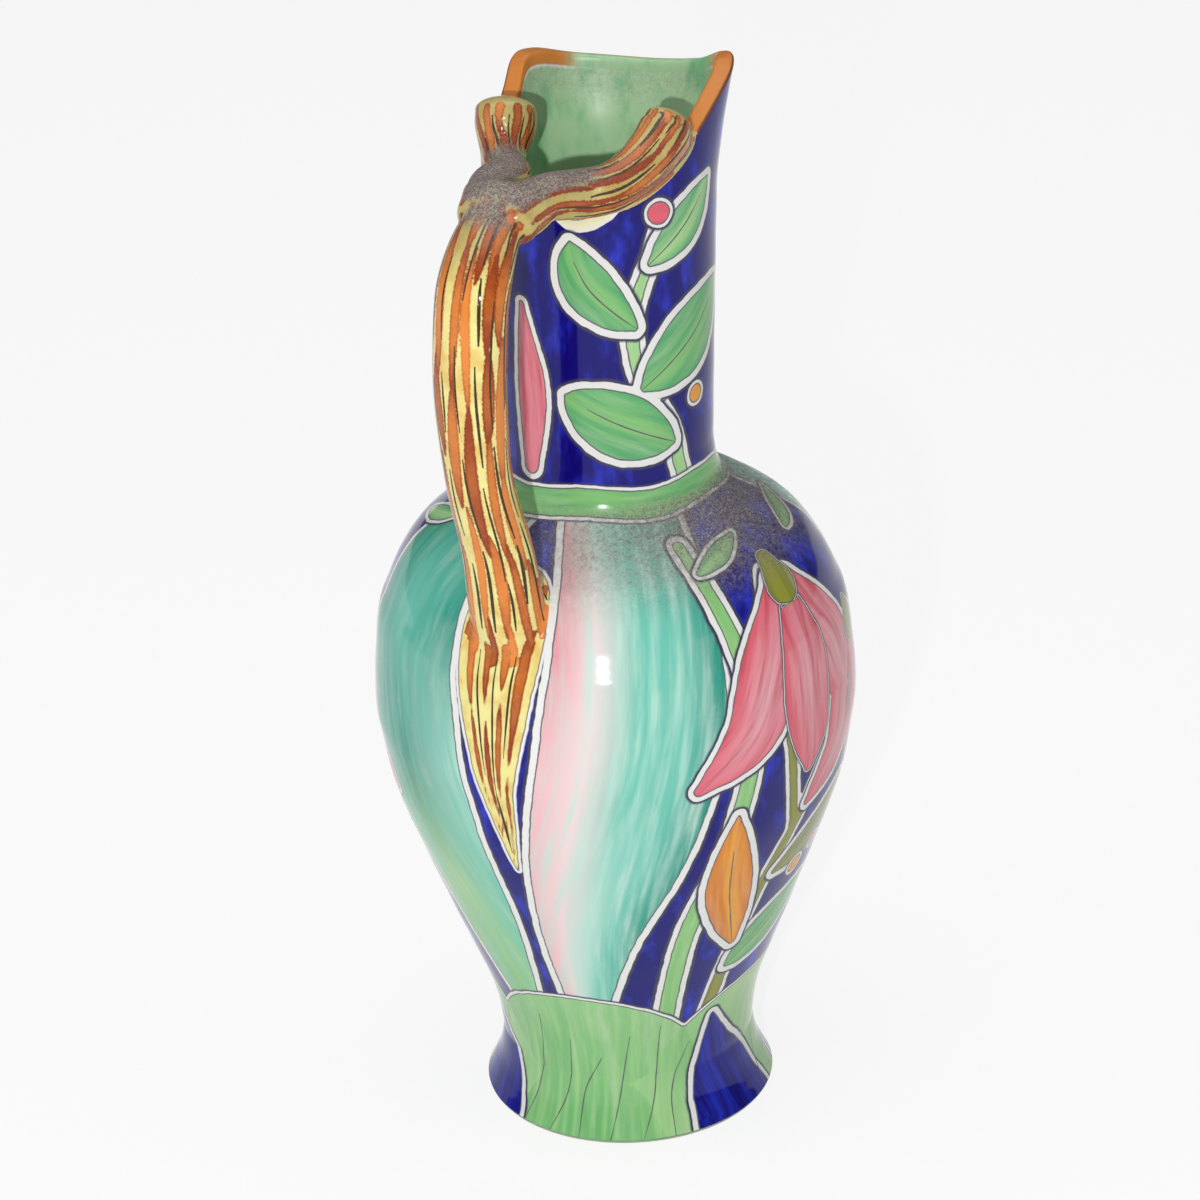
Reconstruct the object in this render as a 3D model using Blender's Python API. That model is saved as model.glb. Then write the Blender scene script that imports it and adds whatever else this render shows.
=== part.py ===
"""Glazed ceramic ewer with an obliquely cut mouth and a handle shaped like a forked branch.

The pot is built as a potter builds it: a turned foot, two turned halves of the body, a turned
neck that is cut at a slant while soft, and a branch handle of three pieces pressed onto it.
Turned pieces meet in stepped seats, and a coil of clay fills each corner that is pressed home.
The axis is +Z, the foot stands on z = 0, the spout points to +X and the handle to -X.
"""

import math

import bmesh
import bpy
from mathutils import Vector

# Foot
FOOT_RADIUS = 0.0543
FOOT_EDGE_HEIGHT = 0.0015
FOOT_RECESS_RADIUS = 0.0430
FOOT_RECESS_DEPTH = 0.0025
FLOOR_THICKNESS = 0.0080
FLOOR_RADIUS = 0.0300
FLOOR_COVE_HEIGHT = 0.0040
WAIST_RADIUS = 0.0470
WAIST_HEIGHT = 0.0240
# The flare from the edge up to the waist: share of the way out, and share of the rise
FOOT_FLARE = ((1, 0), (0.66, 0.22), (0.28, 0.52), (0, 1))

# Body
BODY_RADIUS = 0.0872
BODY_HEIGHT = 0.1680
SHOULDER_HEIGHT = 0.2480
WALL = 0.0070
# From the waist up to the widest line: share of the swell, and share of the rise
BODY_SWELL = (
    (0, 0), (0.10, 0.153), (0.425, 0.396), (0.662, 0.576), (0.875, 0.75), (0.97, 0.896),
)
# From the widest line up to the neck: share of the way in, and share of the rise
SHOULDER_FALL = (
    (0, 0), (0.054, 0.349), (0.135, 0.496), (0.245, 0.634),
    (0.386, 0.748), (0.62, 0.853), (0.869, 0.949), (1, 1),
)

# Neck and mouth
NECK_RADIUS = 0.0375
NECK_FLARE = 0.0024
NECK_LEAN = 0.0065
MOUTH_HEIGHT = 0.3955
MOUTH_SLANT = 0.0385
MOUTH_ROUNDING = 0.0012
LIP_THICKNESS = 0.0036
LIP_HALF_ANGLE = 44.0
LIP_FADE = 20.0
MOUTH_EAR = 0.0058
MOUTH_EAR_ANGLE = 62.0
MOUTH_EAR_SPREAD = 26.0
MOUTH_EAR_START = 0.7
# The slanting cut: angle from the spout in degrees, and share of the slant that it lies below
# the mouth's highest point
MOUTH_CUT = (
    (-180, 1.0), (-128, 0.82), (-101, 0.52), (-85, 0.30), (-69, 0.10),
    (-53, 0.0), (-30, 0.16), (3, 0.25), (40, 0.22), (63, 0.13),
    (75, 0.16), (85, 0.39), (98, 0.60), (130, 0.82), (180, 1.0),
)

# Seats, where one turned piece stands on the next
TONGUE_HEIGHT = 0.0030
NECK_SEAT_DEPTH = 0.0045
NECK_SEAT_LEDGE = 0.0050
NECK_SEAT_THICKNESS = 0.0040
CLEARANCE = 0.0003

# Coils pressed into the corners
NECK_COIL_HEIGHT = 0.0060
NECK_COIL_REACH = 0.0052
ROOT_COIL_HEIGHT = 0.0100
ROOT_COIL_REACH = 0.0045
COIL_EDGE = 0.0009

# Handle: the overhang is how far its middle stands out past the body's widest line, a reach is
# a distance out from the pot's axis, and the pieces meet at the fork
HANDLE_OVERHANG = 0.0008
HANDLE_BELLY_HEIGHT = 0.3050
ROOT_INSET = 0.0157
ROOT_SINK = 0.0019
ROOT_TAIL = 0.0160
ROOT_TAIL_TURN = 0.0050
FORK_REACH = 0.0600
FORK_DROP = 0.0325
TRUNK_HALF_WIDTH = 0.0131
TRUNK_HALF_DEPTH = 0.0100
TAIL_SHAPE = (1.12, 1.10)
# From the root up to the belly: share of the way out, share of the rise, and shares of the
# half width and the half depth
TRUNK_RISE = (
    (0.00, 0.00, 1.08, 1.10), (0.30, 0.31, 1.00, 1.04),
    (0.84, 0.66, 0.92, 0.98), (1.00, 1.00, 0.98, 1.00),
)
# From the belly in to the fork, in the same way
TRUNK_BEND = (
    (0.06, 0.36, 1.00, 1.00), (0.20, 0.66, 1.00, 0.98),
    (0.55, 0.90, 1.02, 0.95), (1.00, 1.00, 1.05, 0.90),
)

# Twigs
TWIG_HALF_WIDTH = 0.0085
TWIG_TIP_DROP = 0.0145
TWIG_SPLAY = 0.0071
TWIG_FLATNESS = 0.95
TIP_LENGTH = 0.32
TIP_WIDTH = 0.63
# How each twig lies from the fork to its tip: angle from the spout in degrees, half widths out
# from the middle of the mouth's wall, share of the climb to the tip, and share of the half width
LEFT_TWIG = (
    (165, 1.05, 0.00, 1.00), (154, 0.46, 0.12, 0.94), (143, 0.00, 0.36, 0.96),
    (134, -0.31, 0.70, 1.20), (130, -0.42, 1.00, 1.14),
)
RIGHT_TWIG = (
    (-159, 1.16, -0.08, 1.00), (-148, 0.93, 0.04, 0.98), (-137, 0.58, 0.30, 0.98),
    (-125, 0.22, 0.60, 1.04), (-116, 0.00, 0.88, 1.10), (-112, -0.09, 1.06, 0.98),
)

# Fineness of the faces
SEGMENTS = 48
NECK_ROWS = 7
COIL_STEPS = 5
TUBE_SIDES = 14
CURVE_STEPS = 2
MOUTH_STEPS = 6
LEAST_STEP = WALL / 7
WELD = 0.00001


def clear_scene():
    """Remove every object that the file holds."""
    for item in list(bpy.data.objects):
        bpy.data.objects.remove(item, do_unlink=True)


def make_material(name, colour, roughness):
    """A glazed clay material with one colour."""
    material = bpy.data.materials.new(name)
    material.use_nodes = True
    shader = material.node_tree.nodes["Principled BSDF"]
    shader.inputs["Base Color"].default_value = (*colour, 1.0)
    shader.inputs["Roughness"].default_value = roughness
    shader.inputs["Metallic"].default_value = 0.0
    return material


def add_object(name, mesh_builder, material=None):
    """Turn a finished bmesh into a named object."""
    bmesh.ops.recalc_face_normals(mesh_builder, faces=mesh_builder.faces)
    mesh = bpy.data.meshes.new(name)
    mesh_builder.to_mesh(mesh)
    mesh_builder.free()
    mesh.shade_smooth()
    mesh.set_sharp_from_angle(angle=math.radians(40))
    item = bpy.data.objects.new(name, mesh)
    bpy.context.collection.objects.link(item)
    if material:
        mesh.materials.append(material)
    return item


def add_cutter(name, mesh_builder):
    """A guide solid that only cuts other pieces."""
    item = add_object(name, mesh_builder)
    item.hide_render = True
    item.display_type = "WIRE"
    return item


def cut_away(item, cutter):
    """Subtract a cutter from a piece."""
    modifier = item.modifiers.new("cut by " + cutter.name, "BOOLEAN")
    modifier.operation = "DIFFERENCE"
    modifier.solver = "EXACT"
    modifier.object = cutter


def smooth_path(points, steps=CURVE_STEPS):
    """Points on a Catmull-Rom curve through the given ones, with the same steps in each stretch."""
    points = [Vector(p) for p in points]
    padded = [2 * points[0] - points[1]] + points + [2 * points[-1] - points[-2]]
    path = []
    for before, start, end, after in zip(padded, padded[1:], padded[2:], padded[3:]):
        for step in range(steps):
            t = step / steps
            path.append(0.5 * (
                2 * start
                + (end - before) * t
                + (2 * before - 5 * start + 4 * end - after) * t ** 2
                + (3 * start - before - 3 * end + after) * t ** 3
            ))
    return path + [points[-1]]


def offset_outline(outline, distance):
    """The outline moved square to itself, towards the axis."""
    moved = []
    for index, point in enumerate(outline):
        before = outline[max(index - 1, 0)]
        after = outline[min(index + 1, len(outline) - 1)]
        along = (after - before).normalized()
        moved.append(point + distance * Vector((-along.y, along.x)))
    return moved


def at_height(outline, height):
    """Radius of a rising outline at a height."""
    for low, high in zip(outline, outline[1:]):
        if low.y <= height <= high.y:
            share = (height - low.y) / (high.y - low.y)
            return low.x + share * (high.x - low.x)
    return outline[-1].x if height > outline[-1].y else outline[0].x


def at_radius(outline, radius):
    """Height of the shoulder's outline at a radius, above the widest line."""
    for low, high in zip(outline, outline[1:]):
        if low.x >= radius >= high.x and low.y > BODY_HEIGHT:
            share = (low.x - radius) / (low.x - high.x)
            return low.y + share * (high.y - low.y)
    end, before = outline[-1], outline[-2]
    slope = (end.y - before.y) / (before.x - end.x)
    return end.y + slope * (end.x - radius)


def between(outline, low, high):
    """The stretch of a rising outline between two heights, with both ends on the outline."""
    inside = [p for p in outline if low + LEAST_STEP < p.y < high - LEAST_STEP]
    ends = [Vector((at_height(outline, height), height)) for height in (low, high)]
    return [ends[0]] + inside + [ends[1]]


def body_outline():
    """Outer outline of the body from the waist up to the neck, as radius and height."""
    swell = BODY_RADIUS - WAIST_RADIUS
    rise = BODY_HEIGHT - WAIST_HEIGHT
    fall = BODY_RADIUS - NECK_RADIUS
    top = SHOULDER_HEIGHT - BODY_HEIGHT
    points = [(WAIST_RADIUS + swell * r, WAIST_HEIGHT + rise * z) for r, z in BODY_SWELL]
    points += [(BODY_RADIUS - fall * r, BODY_HEIGHT + top * z) for r, z in SHOULDER_FALL]
    return smooth_path(points)


OUTER = body_outline()
INNER = offset_outline(OUTER, WALL)
MOUTH = smooth_path([(angle, MOUTH_HEIGHT - share * MOUTH_SLANT) for angle, share in MOUTH_CUT],
                    MOUTH_STEPS)
HANDLE_REACH = BODY_RADIUS + HANDLE_OVERHANG
FORK_HEIGHT = MOUTH_HEIGHT - FORK_DROP
ROOT_REACH = BODY_RADIUS - ROOT_INSET
ROOT_HEIGHT = at_radius(OUTER, ROOT_REACH) - ROOT_SINK


def spin_outline(outline):
    """Turn a closed outline of radius and height round the axis."""
    builder = bmesh.new()
    verts = [builder.verts.new((p[0], 0, p[1])) for p in outline]
    edges = [builder.edges.new((a, b)) for a, b in zip(verts, verts[1:] + verts[:1])]
    bmesh.ops.spin(builder, geom=verts + edges, cent=(0, 0, 0), axis=(0, 0, 1),
                   angle=2 * math.pi, steps=SEGMENTS, use_merge=True, use_duplicate=False)
    bmesh.ops.remove_doubles(builder, verts=builder.verts, dist=WELD)
    return builder


def make_foot(material):
    """Flared foot with a floor, a recess under it and a tongue for the body above."""
    flare = FOOT_RADIUS - WAIST_RADIUS
    rise = WAIST_HEIGHT - FOOT_EDGE_HEIGHT
    side = smooth_path([(WAIST_RADIUS + flare * r, FOOT_EDGE_HEIGHT + rise * z)
                        for r, z in FOOT_FLARE])
    inner = WAIST_RADIUS - WALL
    middle = WAIST_RADIUS - WALL / 2
    floor = FOOT_RECESS_DEPTH + FLOOR_THICKNESS
    outline = [
        (0, FOOT_RECESS_DEPTH),
        (FOOT_RECESS_RADIUS - FOOT_RECESS_DEPTH, FOOT_RECESS_DEPTH),
        (FOOT_RECESS_RADIUS, 0),
        (FOOT_RADIUS - FOOT_EDGE_HEIGHT / 2, 0),
        *side,
        (middle, WAIST_HEIGHT),
        (middle, WAIST_HEIGHT + TONGUE_HEIGHT),
        (inner, WAIST_HEIGHT + TONGUE_HEIGHT),
        (inner, WAIST_HEIGHT),
        ((inner + FLOOR_RADIUS) / 2, floor + FLOOR_COVE_HEIGHT),
        (FLOOR_RADIUS, floor),
        (0, floor),
    ]
    return add_object("foot", spin_outline(outline), material)


def make_lower_body(material):
    """Turned lower half of the body, from the foot's seat to the widest line."""
    low = WAIST_HEIGHT + TONGUE_HEIGHT + CLEARANCE
    recess = WAIST_RADIUS - WALL / 2 + CLEARANCE
    middle = BODY_RADIUS - WALL / 2
    outline = [
        *between(OUTER, WAIST_HEIGHT + CLEARANCE, BODY_HEIGHT),
        (middle, BODY_HEIGHT),
        (middle, BODY_HEIGHT + TONGUE_HEIGHT),
        (BODY_RADIUS - WALL, BODY_HEIGHT + TONGUE_HEIGHT),
        *reversed(between(INNER, low, BODY_HEIGHT)),
        (recess, low),
        (recess, WAIST_HEIGHT + CLEARANCE),
    ]
    return add_object("lower_body", spin_outline(outline), material)


def make_upper_body(material):
    """Turned shoulder, from the widest line to the seat that holds the neck."""
    low = BODY_HEIGHT + TONGUE_HEIGHT + CLEARANCE
    recess = BODY_RADIUS - WALL / 2 + CLEARANCE
    socket = NECK_RADIUS + CLEARANCE
    bore = NECK_RADIUS - NECK_SEAT_LEDGE
    seat = SHOULDER_HEIGHT - NECK_SEAT_DEPTH
    underside = seat - NECK_SEAT_THICKNESS
    outer = between(OUTER, BODY_HEIGHT + CLEARANCE, SHOULDER_HEIGHT)
    outline = [
        *[point for point in outer if point.x > socket + LEAST_STEP],
        (socket, at_radius(OUTER, socket)),
        (socket, seat),
        (bore, seat),
        (bore, underside),
        *reversed(between(INNER, low, underside)),
        (recess, low),
        (recess, BODY_HEIGHT + CLEARANCE),
    ]
    return add_object("upper_body", spin_outline(outline), material)


def mouth_height(angle):
    """Height of the slanting cut at an angle from the spout, in degrees."""
    for low, high in zip(MOUTH, MOUTH[1:]):
        if low.x <= angle <= high.x:
            share = (angle - low.x) / (high.x - low.x)
            return low.y + share * (high.y - low.y)
    return MOUTH[-1].y


def neck_share(height):
    """How far up the neck a height is, from 0 at the shoulder to 1 at the top of the mouth."""
    return max(0.0, (height - SHOULDER_HEIGHT) / (MOUTH_HEIGHT - SHOULDER_HEIGHT))


def neck_centre(height):
    """The neck leans a little towards the spout, and more so higher up."""
    return NECK_LEAN * neck_share(height) ** 1.3


def neck_radius(angle, height):
    """Outer radius of the neck, which flares upwards and pulls out into two ears."""
    share = neck_share(height)
    ear = math.exp(-((abs(angle) - MOUTH_EAR_ANGLE) / MOUTH_EAR_SPREAD) ** 2)
    pull = max(0.0, (share - MOUTH_EAR_START) / (1 - MOUTH_EAR_START)) ** 1.6
    return NECK_RADIUS + NECK_FLARE * min(1.2 * share, 1.0) + MOUTH_EAR * ear * pull


def neck_point(angle, height, inset):
    """A point on the neck's wall, an inset in from its outer face."""
    radius = neck_radius(angle, height) - inset
    turn = math.radians(angle)
    return Vector((
        neck_centre(height) + radius * math.cos(turn),
        radius * math.sin(turn),
        height,
    ))


def lip_thickness(angle):
    """The wall at the mouth, which is drawn thinner round the spout."""
    share = min(max((abs(angle) - LIP_HALF_ANGLE) / LIP_FADE, 0.0), 1.0)
    return LIP_THICKNESS + (WALL - LIP_THICKNESS) * share


def neck_wall(bottom, grow):
    """The neck's wall from a level bottom to the slanting mouth, grown all round by a clearance."""
    builder = bmesh.new()
    rings = []
    for step in range(SEGMENTS):
        angle = -180 + 360 * step / SEGMENTS
        lip = lip_thickness(angle)
        top = mouth_height(angle) + grow
        edge = top - MOUTH_ROUNDING
        heights = [bottom + (edge - bottom) * row / NECK_ROWS for row in range(NECK_ROWS + 1)]
        column = [neck_point(angle, height, -grow) for height in heights]
        column.append(neck_point(angle, top, MOUTH_ROUNDING - grow))
        column.append(neck_point(angle, top, lip - MOUTH_ROUNDING + grow))
        column.append(neck_point(angle, edge, lip + grow))
        column += [neck_point(angle, height, WALL + grow) for height in reversed(heights[:-1])]
        rings.append([builder.verts.new(point) for point in column])
    for ring, following in zip(rings, rings[1:] + rings[:1]):
        for index in range(len(ring)):
            after = (index + 1) % len(ring)
            builder.faces.new((ring[index], following[index], following[after], ring[after]))
    return builder


def make_neck(material):
    """Turned neck that stands in the shoulder's seat, cut at a slant at the mouth."""
    bottom = SHOULDER_HEIGHT - NECK_SEAT_DEPTH + CLEARANCE
    return add_object("neck", neck_wall(bottom, 0), material)


def make_neck_coil(material):
    """Coil of clay that fills the corner between neck and shoulder with a hollow curve."""
    top = SHOULDER_HEIGHT + NECK_COIL_HEIGHT
    inside = neck_radius(180, top) + neck_centre(top) + CLEARANCE
    outside = inside + NECK_COIL_REACH
    toe = at_radius(OUTER, outside) + CLEARANCE + COIL_EDGE
    hollow = []
    underside = []
    for step in range(COIL_STEPS + 1):
        turn = math.radians(90 * step / COIL_STEPS)
        radius = outside - (NECK_COIL_REACH - COIL_EDGE) * math.sin(turn)
        hollow.append((radius, top - (top - toe) * math.cos(turn)))
        radius = inside + NECK_COIL_REACH * step / COIL_STEPS
        underside.append((radius, at_radius(OUTER, radius) + CLEARANCE))
    return add_object("neck_coil", spin_outline([*hollow, (inside, top), *underside]), material)


def loft(stations):
    """A closed tube through stations of centre, side axis and its half, lift axis and its half."""
    builder = bmesh.new()
    rings = []
    for centre, side, half_side, lift, half_lift in stations:
        ring = []
        for step in range(TUBE_SIDES):
            turn = 2 * math.pi * step / TUBE_SIDES
            across = side * half_side * math.cos(turn)
            ring.append(builder.verts.new(centre + across + lift * half_lift * math.sin(turn)))
        rings.append(ring)
    for ring, following in zip(rings, rings[1:]):
        for index in range(TUBE_SIDES):
            after = (index + 1) % TUBE_SIDES
            builder.faces.new((ring[index], ring[after], following[after], following[index]))
    builder.faces.new(rings[0])
    builder.faces.new(rings[-1])
    return builder


def directions(path):
    """Unit directions along a path."""
    ahead = []
    for index in range(len(path)):
        before = path[max(index - 1, 0)]
        after = path[min(index + 1, len(path) - 1)]
        ahead.append((after - before).normalized())
    return ahead


def trunk_stations(grow=0.0):
    """Centres and half sizes of the branch, from inside the shoulder up to the fork."""
    rise = HANDLE_BELLY_HEIGHT - ROOT_HEIGHT
    bend = FORK_HEIGHT - HANDLE_BELLY_HEIGHT
    way_out = HANDLE_REACH - ROOT_REACH
    way_in = HANDLE_REACH - FORK_REACH - CLEARANCE / 2
    knots = [Vector((-ROOT_REACH + ROOT_TAIL_TURN, ROOT_HEIGHT - ROOT_TAIL, *TAIL_SHAPE))]
    for out, up, width, depth in TRUNK_RISE:
        knots.append(Vector((-ROOT_REACH - out * way_out, ROOT_HEIGHT + up * rise, width, depth)))
    for turned, up, width, depth in TRUNK_BEND:
        knots.append(Vector((-HANDLE_REACH + turned * way_in, HANDLE_BELLY_HEIGHT + up * bend,
                             width, depth)))
    path = smooth_path(knots)
    centres = [Vector((knot[0], 0, knot[1])) for knot in path]
    ahead = directions(centres)
    ahead[-1] = Vector((1, 0, 0))
    side = Vector((0, 1, 0))
    return [
        (centre, side, TRUNK_HALF_WIDTH * knot[2] + grow,
         side.cross(forward), TRUNK_HALF_DEPTH * knot[3] + grow)
        for centre, forward, knot in zip(centres, ahead, path)
    ]


def body_plug():
    """The body as one filled solid, grown by the clearance, that cuts what is pressed onto it."""
    skin = offset_outline(OUTER, -CLEARANCE)
    outline = [(0, WAIST_HEIGHT), *skin, (0, SHOULDER_HEIGHT + CLEARANCE)]
    return add_cutter("body_guide", spin_outline(outline))


def make_trunk(material, plug):
    """Pulled branch with one end pressed onto the shoulder and the other at the fork."""
    trunk = add_object("handle_trunk", loft(trunk_stations()), material)
    cut_away(trunk, plug)
    return trunk


def make_root_coil(material, plug):
    """Coil of clay round the branch where it lands on the shoulder."""
    flared = []
    for centre, side, half_side, lift, half_lift in trunk_stations():
        share = (centre.z - ROOT_HEIGHT + ROOT_TAIL) / (ROOT_COIL_HEIGHT + ROOT_TAIL)
        if share > 1.0:
            break
        spread = COIL_EDGE + ROOT_COIL_REACH * (1 - share) ** 2
        flared.append((centre, side, half_side + spread, lift, half_lift + spread))
    coil = add_object("root_coil", loft(flared), material)
    cut_away(coil, add_cutter("root_guide", loft(trunk_stations(CLEARANCE))))
    cut_away(coil, plug)
    return coil


def twig_stations(side_sign, lie):
    """Centres and half sizes of one twig, from the fork round the neck to its blunt tip."""
    climb = FORK_DROP - TWIG_TIP_DROP
    knots = [
        (-FORK_REACH + CLEARANCE / 2, side_sign * TWIG_SPLAY, FORK_HEIGHT, 1.0),
        (-FORK_REACH + TWIG_HALF_WIDTH, side_sign * 1.5 * TWIG_SPLAY, FORK_HEIGHT, 1.0),
    ]
    for angle, out, share, half in lie:
        inset = WALL / 2 - out * TWIG_HALF_WIDTH
        knots.append((*neck_point(angle, FORK_HEIGHT + share * climb, inset), half))
    path = smooth_path(knots)
    centres = [knot.to_3d() for knot in path]
    ahead = directions(centres)
    ahead[0] = Vector((1, 0, 0))
    stations = []
    for centre, forward, knot in zip(centres, ahead, path):
        half = TWIG_HALF_WIDTH * knot[3]
        side = forward.cross(Vector((0, 0, 1))).normalized()
        stations.append((centre, side, half * TWIG_FLATNESS, side.cross(forward), half))
    tip = centre + forward * half * TIP_LENGTH
    stations.append((tip, side, half * TWIG_FLATNESS * TIP_WIDTH,
                     side.cross(forward), half * TIP_WIDTH))
    return stations


def make_twig(name, side_sign, lie, material, neck_guide):
    """One twig of the fork, split from its twin along the middle and saddled over the mouth."""
    builder = loft(twig_stations(side_sign, lie))
    split = bmesh.ops.bisect_plane(
        builder, geom=builder.verts[:] + builder.edges[:] + builder.faces[:],
        plane_co=(0, side_sign * CLEARANCE / 2, 0), plane_no=(0, -side_sign, 0), clear_outer=True)
    rim = [item for item in split["geom_cut"] if isinstance(item, bmesh.types.BMEdge)]
    bmesh.ops.holes_fill(builder, edges=rim, sides=0)
    twig = add_object(name, builder, material)
    cut_away(twig, neck_guide)
    return twig


def build():
    """Make every piece."""
    clear_scene()
    green = make_material("leaf green glaze", (0.22, 0.46, 0.20), 0.12)
    teal = make_material("sea green glaze", (0.12, 0.46, 0.40), 0.12)
    aqua = make_material("pale aqua glaze", (0.30, 0.58, 0.50), 0.14)
    cobalt = make_material("cobalt glaze", (0.015, 0.015, 0.30), 0.10)
    slip = make_material("white slip", (0.70, 0.70, 0.66), 0.25)
    bark = make_material("ochre bark glaze", (0.58, 0.22, 0.05), 0.20)
    umber = make_material("umber bark glaze", (0.36, 0.15, 0.05), 0.22)

    make_foot(green)
    make_lower_body(teal)
    make_upper_body(aqua)
    make_neck(cobalt)
    make_neck_coil(slip)
    body_guide = body_plug()
    make_trunk(bark, body_guide)
    make_root_coil(umber, body_guide)
    neck_guide = add_cutter("neck_guide", neck_wall(SHOULDER_HEIGHT, CLEARANCE))
    make_twig("twig_left", 1, LEFT_TWIG, umber, neck_guide)
    make_twig("twig_right", -1, RIGHT_TWIG, umber, neck_guide)


build()
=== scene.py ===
"""Looks of a glazed ceramic ewer with a branch handle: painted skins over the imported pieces.

Every skin follows the same outline as the piece that it stands for. Angles that start with
"around" are degrees round the axis from the handle, growing towards the right of the camera's
view. Colours are written as sRGB values from 0 to 255.
"""

import bmesh
import bpy
import math
import numpy as np
from mathutils import Matrix, Vector


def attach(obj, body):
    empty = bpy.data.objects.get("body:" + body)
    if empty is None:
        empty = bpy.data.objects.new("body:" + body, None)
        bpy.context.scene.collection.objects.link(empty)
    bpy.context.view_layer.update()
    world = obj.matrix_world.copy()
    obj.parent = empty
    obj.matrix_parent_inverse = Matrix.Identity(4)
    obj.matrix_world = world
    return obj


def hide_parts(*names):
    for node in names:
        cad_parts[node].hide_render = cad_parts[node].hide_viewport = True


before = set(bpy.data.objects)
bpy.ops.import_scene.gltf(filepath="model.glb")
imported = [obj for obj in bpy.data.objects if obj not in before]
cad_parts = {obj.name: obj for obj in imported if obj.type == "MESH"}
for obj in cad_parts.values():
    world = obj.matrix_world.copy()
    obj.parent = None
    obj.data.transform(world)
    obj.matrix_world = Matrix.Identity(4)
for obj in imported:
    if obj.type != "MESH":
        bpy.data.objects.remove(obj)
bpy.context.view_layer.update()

MM = 0.001

# Sizes of the pot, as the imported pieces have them
FOOT_RADIUS = 0.0543
FOOT_EDGE_HEIGHT = 0.0015
FOOT_RECESS_RADIUS = 0.0430
FOOT_RECESS_DEPTH = 0.0025
FLOOR_THICKNESS = 0.0080
FLOOR_RADIUS = 0.0300
FLOOR_COVE_HEIGHT = 0.0040
WAIST_RADIUS = 0.0470
WAIST_HEIGHT = 0.0240
FOOT_FLARE = ((1, 0), (0.66, 0.22), (0.28, 0.52), (0, 1))
BODY_RADIUS = 0.0872
BODY_HEIGHT = 0.1680
SHOULDER_HEIGHT = 0.2480
WALL = 0.0070
BODY_SWELL = (
    (0, 0), (0.10, 0.153), (0.425, 0.396), (0.662, 0.576), (0.875, 0.75), (0.97, 0.896),
)
SHOULDER_FALL = (
    (0, 0), (0.054, 0.349), (0.135, 0.496), (0.245, 0.634),
    (0.386, 0.748), (0.62, 0.853), (0.869, 0.949), (1, 1),
)
NECK_RADIUS = 0.0375
NECK_FLARE = 0.0024
NECK_FLARE_RATE = 1.2
NECK_LEAN = 0.0065
NECK_LEAN_POWER = 1.3
MOUTH_HEIGHT = 0.3955
MOUTH_SLANT = 0.0385
MOUTH_ROUNDING = 0.0012
LIP_THICKNESS = 0.0036
LIP_HALF_ANGLE = 44.0
LIP_FADE = 20.0
MOUTH_EAR = 0.0058
MOUTH_EAR_ANGLE = 62.0
MOUTH_EAR_SPREAD = 26.0
MOUTH_EAR_START = 0.7
MOUTH_EAR_POWER = 1.6
MOUTH_CUT = (
    (-180, 1.0), (-128, 0.82), (-101, 0.52), (-85, 0.30), (-69, 0.10),
    (-53, 0.0), (-30, 0.16), (3, 0.25), (40, 0.22), (63, 0.13),
    (75, 0.16), (85, 0.39), (98, 0.60), (130, 0.82), (180, 1.0),
)

# The hollow curve between shoulder and neck: radius and height
COIL_CURVE = ((0.0436, 0.2441), (0.0418, 0.2462), (0.0396, 0.2500), (0.0384, 0.2550))
COIL_TOP = 0.2620
COIL_RUN_ON = 0.0040

# Marks of the hand: rings from turning, and slow bulges from pressing
RING_DEPTH = 0.00004
RING_SPACING = 0.019
BULGE = 0.00022
SMALL_BULGE = 0.00012

# Fineness of the skins
COLUMNS = 384
ROW_STEP = 0.0012
DENSER = 0.4
PATH_STEPS = 24
SEAT_GAP = 0.00015


def linear(colour):
    """An sRGB colour from 0 to 255 as linear values."""
    c = np.asarray(colour, float) / 255
    return np.where(c <= 0.04045, c / 12.92, ((c + 0.055) / 1.055) ** 2.4)


def smooth_path(points, steps):
    """Points on a Catmull-Rom curve through the given ones."""
    points = np.asarray(points, float)
    padded = np.vstack([2 * points[0] - points[1], points, 2 * points[-1] - points[-2]])
    t = (np.arange(steps) / steps)[:, None]
    parts = []
    for before, start, end, after in zip(padded, padded[1:], padded[2:], padded[3:]):
        parts.append(0.5 * (
            2 * start
            + (end - before) * t
            + (2 * before - 5 * start + 4 * end - after) * t ** 2
            + (3 * start - before - 3 * end + after) * t ** 3
        ))
    return np.vstack(parts + [points[-1:]])


def smoothstep(value, low, high):
    share = np.clip((value - low) / (high - low), 0, 1)
    return share * share * (3 - 2 * share)


# The pot's outline

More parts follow.
